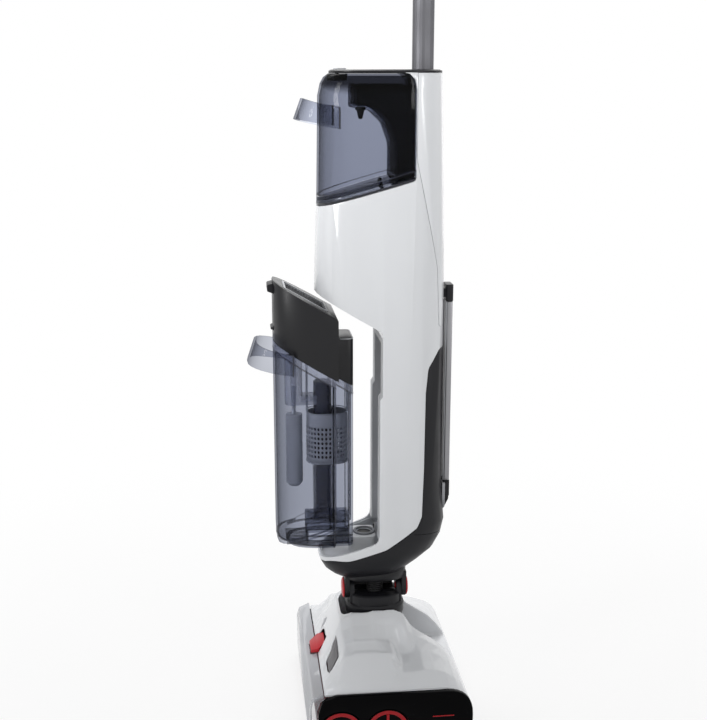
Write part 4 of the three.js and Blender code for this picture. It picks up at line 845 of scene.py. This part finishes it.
# %% [markdown]
# ## Strainer basket
#
# The basket catches hair and crumbs above the inlet. Its wall is a lattice of small round
# holes. Boring each hole would take hundreds of cuts, so the wall is made the other way
# round: one ring of square fields is stacked into rows, every field is inset and its middle
# taken out, and subdivision rounds the square windows into holes.

# %% Strainer basket
basket_low, basket_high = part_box("strainer_basket")
basket_middle = middle_of("strainer_basket")
BASKET_WALL, BASKET_PLAY = 1.6, 0.3  # the cup is this much smaller than the solid
FIELDS, HOLE_ROWS, ROW_HEIGHT = 32, 7, 6.0
HOLE_BORDER = 0.85
HOLES_START = 6.0  # plain wall below the holes
holes_end = HOLES_START + HOLE_ROWS * ROW_HEIGHT
CUP_HEIGHT = 65.0


def oval_ring(name, height, bottom):
    """An open ring as wide as the basket; height and bottom in mm above its foot."""
    bpy.ops.mesh.primitive_cylinder_add(vertices=FIELDS, radius=1, depth=height * MM,
                                        end_fill_type="NOTHING")
    ring = named(name)
    half = (basket_high - basket_low) / 2
    ring.scale = (half.x - BASKET_PLAY * MM, half.y - BASKET_PLAY * MM, 1)
    ring.location = (basket_middle.x, basket_middle.y,
                     basket_low.z + (bottom + height / 2) * MM)
    apply_place(ring)
    return ring


basket = oval_ring("strainer_cup", ROW_HEIGHT, HOLES_START)
stack = repeat(basket, (0, 0, ROW_HEIGHT), HOLE_ROWS)
stack.use_merge_vertices = True
stack.merge_threshold = 0.01 * MM
apply_modifiers(basket)
edit_all(basket)
bpy.ops.mesh.inset(thickness=HOLE_BORDER * MM, use_individual=True)
bpy.ops.mesh.delete(type="FACE")
leave_edit()
take(basket, oval_ring("strainer_foot", HOLES_START, 0),
     oval_ring("strainer_rim", CUP_HEIGHT - holes_end, holes_end))
bpy.ops.object.join()
edit_all(basket)
bpy.ops.mesh.remove_doubles(threshold=0.02 * MM)
leave_edit()
wall = basket.modifiers.new("wall", "SOLIDIFY")
wall.thickness = BASKET_WALL * MM
wall.offset = -1
rounder = basket.modifiers.new("rounder", "SUBSURF")
rounder.levels = rounder.render_levels = 1
apply_modifiers(basket)
smooth(basket, 50)
print("basket:", FIELDS * HOLE_ROWS, "holes,", len(basket.data.polygons), "faces")

# %% [markdown]
# ## Basket floor and straps
#
# The floor of the basket sits round the inlet pipe, and two straps hang the cup from the
# lid. They are cut from the solid, so they stay where the frame has them.

# %% Basket floor and straps
straps = copy_of("strainer_basket", "strainer_straps")
trim(straps, Vector((0, 0, basket_low.z + CUP_HEIGHT * MM)), Vector((0, 0, -1)))
soften(straps, 0.4)
cup_floor = copy_of("strainer_basket", "strainer_floor")
trim(cup_floor, Vector((0, 0, basket_low.z + 2 * MM)), Vector((0, 0, 1)))
soften(cup_floor, 0.3)
take(basket, straps, cup_floor)
bpy.ops.object.join()
basket.name = "strainer_basket_fine"
finish_piece(basket, "strainer_grey", "dirty_tank_unit")
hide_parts("strainer_basket")
print("basket spans", [round(size / MM) for size in basket.dimensions], "mm")

# %% [markdown]
# ## The clean water tank
#
# The clean tank is a dome of the same tinted plastic. Towards the top its tint is deepened:
# that is painted shade, standing for the dark under the black top cover. The dock behind its
# arch is a darker moulding than the housing.

# %% Painted shade in the crown of the clean water tank
clean_low, clean_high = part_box("clean_tank")
CROWN_START, CROWN_END = 27.0, 11.0  # the painted shade deepens between these depths below the top
CROWN_SHADE_STRENGTH = 0.95


def crown_painted_shade(tree):
    """Painted shade under the top cover: 0 in the lower part of the dome and nearly 1 in its
    crown.
    """
    place = add_node(tree, "TexCoord").outputs["Object"]
    axes = add_node(tree, "SeparateXYZ", Vector=place)
    depth = add_node(tree, "MapRange", {"interpolation_type": "SMOOTHSTEP"},
                     Value=axes.outputs["Z"], From_Min=clean_high.z - CROWN_START * MM,
                     From_Max=clean_high.z - CROWN_END * MM, To_Max=CROWN_SHADE_STRENGTH)
    return depth.outputs["Result"]


# The clean tank's plastic takes a painted shade towards its crown, under the top cover.
refinish("clean_tank", glass_finish("crown_shaded_plastic", "6B7080", "06070F", crown_painted_shade))
refinish("dock_bulkhead", finish_of("bulkhead_plastic", "0D0E13", 0.34, grain_depth=0.004,
                                    shine=0.25))
print("crown tint starts", CROWN_START, "mm below the top")

# %% [markdown]
# ## Outlet valve, peg and handle edges
#
# An outlet valve hangs under the arch and a small peg stands on the floor. Both are turned
# forms: a cylinder whose top face is extruded and resized ring by ring. The band handles
# show their cut edges as dark lines, because there the eye looks along the plastic instead
# of through it.


# %% Outlet valve, peg and handle edges
def turned_piece(name, rings, place, segments=24):
    """A turned moulding from (height, radius) pairs in mm, from its foot upwards."""
    (foot, radius), (neck, neck_radius) = rings[:2]
    bpy.ops.mesh.primitive_cylinder_add(
        vertices=segments, radius=radius * MM, depth=(neck - foot) * MM,
        location=(0, 0, 0))
    piece = named(name)
    for vertex in piece.data.vertices:
        if vertex.co.z > 0:
            vertex.co.x *= neck_radius / radius
            vertex.co.y *= neck_radius / radius
        vertex.co.z += (foot + neck) / 2 * MM
    for (low, radius_low), (high, radius_high) in zip(rings[1:], rings[2:]):
        pick_faces(piece, lambda middle, normal: normal.z > 0.9)
        factor = radius_high / radius_low
        bpy.ops.mesh.extrude_region_move(
            TRANSFORM_OT_translate={"value": (0, 0, (high - low) * MM)})
        bpy.ops.transform.resize(value=(factor, factor, 1), center_override=(0, 0, high * MM))
    leave_edit()
    piece.location = place
    apply_place(piece)
    return piece


dock_low, dock_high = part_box("dock_bulkhead")
valve = turned_piece(
    "outlet_valve", [(0, 1.9), (1, 2.6), (8, 4.2), (9.8, 4.8), (10.3, 6.2), (13.8, 6.2)],
    (0, dock_low.y + 7.7 * MM, dock_high.z - 39 * MM))
soften(valve, 0.3, edge_angle=60)
finish_piece(valve, "hose_rubber", "clean_tank_unit")
peg = turned_piece("floor_peg", [(0, 3.4), (2, 3.4), (2.6, 2.6), (7, 2.4), (7.6, 1.6)],
                   (0, dock_low.y + 31 * MM, clean_low.z + 18 * MM))
soften(peg, 0.2, edge_angle=60)
finish_piece(peg, "charcoal_plastic", "clean_tank_unit")

handle_edge = clear_finish("handle_edge", "1B1D2A", "0C0D14", 0.9, 0.99)
for unit, slope in (("clean", 0.36), ("dirty", 0.3)):
    node = unit + "_tank_handle"
    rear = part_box(node)[1].y
    slice_of(node, unit + "_handle_end", Vector((0, rear - 1.1 * MM, 0)), (0, 1, 0),
             1.6, 0.25, "smoky_tank", handle_edge)
    rise = Vector((0, slope, 1)).normalized()
    skin = bpy.data.objects[node + "_dressed"].data
    top = max(vertex.co.dot(rise) for vertex in skin.vertices)
    slice_of(node, unit + "_handle_top", rise * (top - 0.6 * MM), rise,
             1.4, 0.2, "smoky_tank", handle_edge)
print("valve, peg and the edges of two handles")

# %% [markdown]
# ## Seat of the clean tank
#
# The tank stands in the body on a base. The base shows as two parallel lines under the
# tank's sloping floor.

# %% Seat of the clean tank
FLOOR_FALL = 0.28  # fall of the tank's floor towards the front
up_from_floor = Vector((0, -FLOOR_FALL, 1)).normalized()
base_skin = bpy.data.objects["clean_tank_base_dressed"].data
base_foot = min(vertex.co.dot(up_from_floor) for vertex in base_skin.vertices)
slice_of("clean_tank_base", "base_dark_edge", up_from_floor * (base_foot + 1.3 * MM),
         up_from_floor, 2.0, 0.3, "smoky_tank", handle_edge)
slice_of("clean_tank", "floor_line", up_from_floor * (base_foot + 10.5 * MM),
         up_from_floor, 0.7, 0.3, "smoky_tank", line_plastic)
print("base edge at", round(base_foot / MM, 1), "mm")

# %% [markdown]
# ## Lid of the dirty tank
#
# The lid is a dark hood. Its low rear part carries a light pad that seals against the body,
# and in front a small tab lets a thumb lift it.

# %% Lid pad and tab
PAD_LENGTH = 17.0
pad_height = max(
    vertex.co.z for vertex in nodes["dirty_tank_lid"].data.vertices
    if vertex.co.y > lid_high.y - 2 * MM)
pad = slice_of("dirty_tank_lid", "lid_seal_pad", Vector((0, 0, pad_height - 0.5 * MM)),
               (0, 0, 1), 1.0, 0.25, "light_grey")
trim(pad, Vector((0, lid_high.y - PAD_LENGTH * MM, 0)), Vector((0, -1, 0)))

tab = box_piece("lid_thumb_tab", (24, 3.6, 5),
                (0, lid_low.y - 0.6 * MM, tank_high.z + 15 * MM))
pick_faces(tab, lambda middle, normal: normal.y < -0.5)
bpy.ops.transform.resize(value=(0.8, 1, 0.5))
leave_edit()
soften(tab, 0.8, steps=3)
finish_piece(tab, "charcoal_plastic", "lid_unit")
print("lid pad at", round(pad_height / MM, 1), "mm")

# %% [markdown]
# ## Hose in the neck
#
# The dirty water passes the joint through a short corrugated hose. Its rings are one small
# ring repeated along a plain core. Behind it a dark half barrel, turned round the same axis
# as the joint, closes the view into the neck and leaves the joint free to swing.

# %% Hose in the neck
hose_low, hose_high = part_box("neck_hose")
hose_middle = middle_of("neck_hose")
RING_PITCH, RING_RADIUS = 2.8, 1.35
END_GAP = 2.0  # plain core below the first ring and above the last
hose_radius = (hose_high.x - hose_low.x) / 2 / MM
hose_length = (hose_high.z - hose_low.z) / MM
hose = torus_piece("hose_rings", hose_radius - RING_RADIUS, RING_RADIUS,
                   (hose_middle.x, hose_middle.y, hose_low.z + END_GAP * MM), 32)
apply_place(hose)
repeat(hose, (0, 0, RING_PITCH), int((hose_length - 2 * END_GAP) / RING_PITCH) + 1)
apply_modifiers(hose)
smooth(hose, 60)
core = turned_piece("hose_core", [
    (0, hose_radius - 2.2), (1, hose_radius - 1.7), (hose_length, hose_radius - 1.7)],
    (hose_middle.x, hose_middle.y, hose_low.z), 32)
smooth(core, 60)
take(hose, core)
bpy.ops.object.join()
finish_piece(hose, "hose_rubber", "neck")
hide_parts("neck_hose")

pin_low, pin_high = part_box("pivot_pin_front")
far_pin_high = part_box("pivot_pin_rear")[1]
swivel = Vector((0, (pin_low.y + far_pin_high.y) / 2, (pin_low.z + pin_high.z) / 2))
BARREL_RADIUS, BARREL_HALF, BARREL_WALL = 16.0, 25.6, 1.4
OPEN_SIDE = -9.5  # the barrel ends here, so that the hose shows from the front
bpy.ops.mesh.primitive_cylinder_add(
    vertices=64, radius=BARREL_RADIUS * MM, depth=2 * BARREL_HALF * MM,
    end_fill_type="NOTHING", location=swivel, rotation=(math.radians(90), 0, 0))
barrel = named("neck_barrel")
apply_place(barrel)
pick_faces(barrel, lambda middle, normal: middle.x > OPEN_SIDE * MM)
bpy.ops.mesh.delete(type="FACE")
leave_edit()
shell = barrel.modifiers.new("shell", "SOLIDIFY")
shell.thickness = BARREL_WALL * MM
shell.offset = -1
apply_modifiers(barrel)
soften(barrel, 0.3)
finish_piece(barrel, "hose_rubber", "neck")
print("hose from", round(hose_low.z / MM), "to", round(hose_high.z / MM), "mm")

# %% [markdown]
# ## Gasket under the top cover
#
# The black top cover sits on a thin gasket that also closes the gap above the clean tank.
# It is the lowest millimetre of the cover, moved down.

# %% Gasket under the top cover
GASKET_DROP = 1.15
cover_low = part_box("top_cover")[0]
gasket = slice_of("top_cover", "top_gasket", Vector((0, 0, cover_low.z + 0.5 * MM)),
                  (0, 0, 1), 1.0, -0.02, "seal_rubber")
gasket.location.z = -GASKET_DROP * MM
apply_place(gasket)
print("gasket from", round(cover_low.z / MM - GASKET_DROP, 2), "mm up")

# %% [markdown]
# ## End of the head
#
# The roller ends sit behind a gloss black panel. A red ring marks each one, because that is
# where a hand takes the roller out, and the rear one has three spokes. The rings are
# flattened, so they read as painted beads.

# %% Rings on the roller caps
deep_red = finish_of("deep_red", "A50A16", 0.35, grain_depth=0.004, shine=0.3)
RING_OUTER, RING_INNER, RING_FLATNESS = 25.6, 20.8, 0.28


def cap_face(node):
    """The middle of a roller cap's or panel's outer face."""
    low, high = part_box(node)
    return Vector((high.x, (low.y + high.y) / 2, (low.z + high.z) / 2))


for end in ("front", "rear"):
    ring = torus_piece(end + "_cap_ring", (RING_OUTER + RING_INNER) / 2,
                       (RING_OUTER - RING_INNER) / 2, segments=96, minor=10)
    ring.scale.z = RING_FLATNESS
    ring.rotation_euler.y = math.radians(90)
    ring.location = cap_face(end + "_roller_cap")
    apply_place(ring)
    smooth(ring, 60)
    finish_piece(ring, "red_accent", end + "_cap", deep_red)

spokes = []
for turn in (0, 120, 240):
    spoke = box_piece("rear_cap_spokes", (1.4, 3.4, RING_INNER - 1),
                      (0, 0, (RING_INNER + 1) / 2 * MM))
    spoke.rotation_euler.x = math.radians(turn)
    apply_place(spoke)
    spokes.append(spoke)
take(*spokes)
bpy.ops.object.join()
spider = spokes[0]
spider.location = cap_face("rear_roller_cap")
apply_place(spider)
soften(spider, 0.4)
finish_piece(spider, "red_accent", "rear_cap", deep_red)
print("rings", round(RING_OUTER - RING_INNER, 1), "mm wide")

# %% [markdown]
# ## Mark on the end panel and the far panel's edge
#
# A short red dash on the black panel balances the rings. The far panel is drawn in a little,
# so that it stays behind the white cover as the near one does.

# %% Mark on the end panel
end_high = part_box("end_panel_left")[1]
DASH_LENGTH, DASH_HEIGHT, DASH_DEPTH = 27.0, 1.5, 0.8
bpy.ops.mesh.primitive_cylinder_add(vertices=24, radius=DASH_HEIGHT / 2 * MM,
                                    depth=DASH_DEPTH * MM)
dash = named("end_panel_dash")
for vertex in dash.data.vertices:
    vertex.co.y += math.copysign((DASH_LENGTH - DASH_HEIGHT) / 2 * MM, vertex.co.y)
dash.rotation_euler.y = math.radians(90)
dash.location = (end_high.x, end_high.y - 37 * MM, end_high.z - 33 * MM)
apply_place(dash)
soften(dash, 0.15, edge_angle=60)
finish_piece(dash, "red_accent", "head", deep_red)

DRAWN_IN = (1, 0.97, 0.955, 1)  # size of the far panel along each axis
far_low, far_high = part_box("end_panel_right")
far_foot = Vector(((far_low.x + far_high.x) / 2, (far_low.y + far_high.y) / 2, far_low.z))
bpy.data.objects["end_panel_right_dressed"].data.transform(
    Matrix.Translation(far_foot) @ Matrix.Diagonal(DRAWN_IN)
    @ Matrix.Translation(-far_foot))
refinish("spray_window", clear_finish("window_plastic", "8B898C", "57565A", 0.86, 0.96))
print("dash", DASH_LENGTH, "mm long")

# %% [markdown]
# ## Recess by the latch
#
# Beside the red latch the cover has a three-cornered grip recess in light grey. It follows
# the slope of the cover, so the three corners are dropped onto the cover from above.

# %% Recess by the latch
RECESS_PROUD, RECESS_DEPTH = 0.35, 1.2
bpy.context.view_layer.update()
catch_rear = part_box("guard_latch")[1].y / MM
corners = [(-20.8, catch_rear - 3.0), (-44.0, catch_rear + 4.6), (-22.0, catch_rear + 5.2)]
heights = [height_on(cover, x, y) for x, y in corners]
bpy.ops.mesh.primitive_circle_add(vertices=3, radius=1, fill_type="NGON")
recess = named("latch_recess")
for vertex, (x, y), height in zip(recess.data.vertices, corners, heights):
    vertex.co = (x * MM, y * MM, (height + RECESS_PROUD) * MM)
edit_all(recess)
bpy.ops.mesh.normals_make_consistent(inside=False)
bpy.ops.mesh.extrude_region_move(
    TRANSFORM_OT_translate={"value": (0, 0, -RECESS_DEPTH * MM)})
bpy.ops.mesh.select_all(action="SELECT")
bpy.ops.mesh.normals_make_consistent(inside=False)
leave_edit()
soften(recess, 0.2)
finish_piece(recess, "light_grey", "head")
print("recess corners at", [round(height) for height in heights], "mm")

# %% [markdown]
# ## Clear corner of the guard
#
# The guard ends in a clear corner that shows the roller's edge. It wraps round the end of
# the head, so it is cut from the guard itself and given a clearer plastic.

# %% Clear corner of the guard
CORNER_WIDTH = 9.0
guard_low, guard_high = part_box("front_guard")
corner_plastic = clear_finish("corner_plastic", "C9CCD2", "8E9198", 0.25, 0.9)
slice_of("front_guard", "guard_clear_corner",
         Vector((guard_high.x - CORNER_WIDTH / 2 * MM, 0, 0)), (1, 0, 0),
         CORNER_WIDTH, 0.05, "clear_guard", corner_plastic)
trim(bpy.data.objects["front_guard_dressed"],
     Vector((guard_high.x - CORNER_WIDTH * MM, 0, 0)), Vector((1, 0, 0)))
print("guard", round((guard_high.x - guard_low.x) / MM), "mm wide")

# %% [markdown]
# ## Back of the machine
#
# The rail rests in a cradle whose pale rim shows as a crescent. The black foot is made of two
# mouldings, so a seam runs round it, and a thin bright line separates panel and rail.

# %% Back of the machine
SEAM_HEIGHT, SEAM_LENGTH, BEAD_RADIUS = 66.0, 44.0, 0.7
refinish("rail_cradle", finishes["black_panel"])
cradle_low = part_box("rail_cradle")[0]
slice_of("rail_cradle", "cradle_rim", Vector((0, cradle_low.y + 3.4 * MM, 0)),
         (0, 1, 0), 3.0, 0.3, "light_grey")
panel_low, panel_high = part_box("back_panel")
seam = slice_of("back_panel", "foot_seam",
                Vector((0, panel_high.y, panel_low.z + SEAM_HEIGHT * MM)),
                (0, 0.12, 1), 0.5, 0.06, "black_gloss")
trim(seam, Vector((0, panel_high.y - SEAM_LENGTH * MM, 0)), Vector((0, -1, 0)))
rail_low, rail_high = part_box("rear_rail")
for side, name in ((-1, "rail_bead_right"), (1, "rail_bead_left")):
    bpy.ops.mesh.primitive_cylinder_add(
        vertices=16, radius=BEAD_RADIUS * MM, depth=rail_high.z - rail_low.z,
        location=(side * (rail_high.x - 1.5 * MM), rail_low.y - 0.4 * MM,
                  (rail_low.z + rail_high.z) / 2))
    bead = named(name)
    apply_place(bead)
    soften(bead, 0.2, edge_angle=60)
    finish_piece(bead, "light_grey", "body")
print("cradle, seam and rail beads")

# %% [markdown]
# ## Inlet port in the bay
#
# Dirty water leaves the body through a port in the tray. Its seal is a soft grey lip. Below
# the lip a thin black disc closes the port: painted shade, standing for the dark down in it.

# %% Inlet port in the bay
SHADE_DISC_PLAY, SHADE_DISC_DROP = 1.2, 2.0
seal_low, seal_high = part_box("port_seal")
seal_middle = middle_of("port_seal")
nodes["port_seal"].data.materials[0] = finish_of(
    "lip_rubber", "7C7E82", 0.7, grain_scale=500, grain_depth=0.02)
# A thin black disc below the lip: painted shade in the port.
shade_disc_radius = (seal_high.x - seal_low.x) / 2 / MM - SHADE_DISC_PLAY
hole_shade = turned_piece(
    "port_painted_shade", [(0, shade_disc_radius - 0.6), (1, shade_disc_radius)],
    (seal_middle.x, seal_middle.y, seal_low.z - SHADE_DISC_DROP * MM), 40)
soften(hole_shade, 0.2, edge_angle=60)
finish_piece(hole_shade, "hose_rubber", "body")
print("seal", [round((high - low) / MM, 1) for low, high in zip(seal_low, seal_high)], "mm")
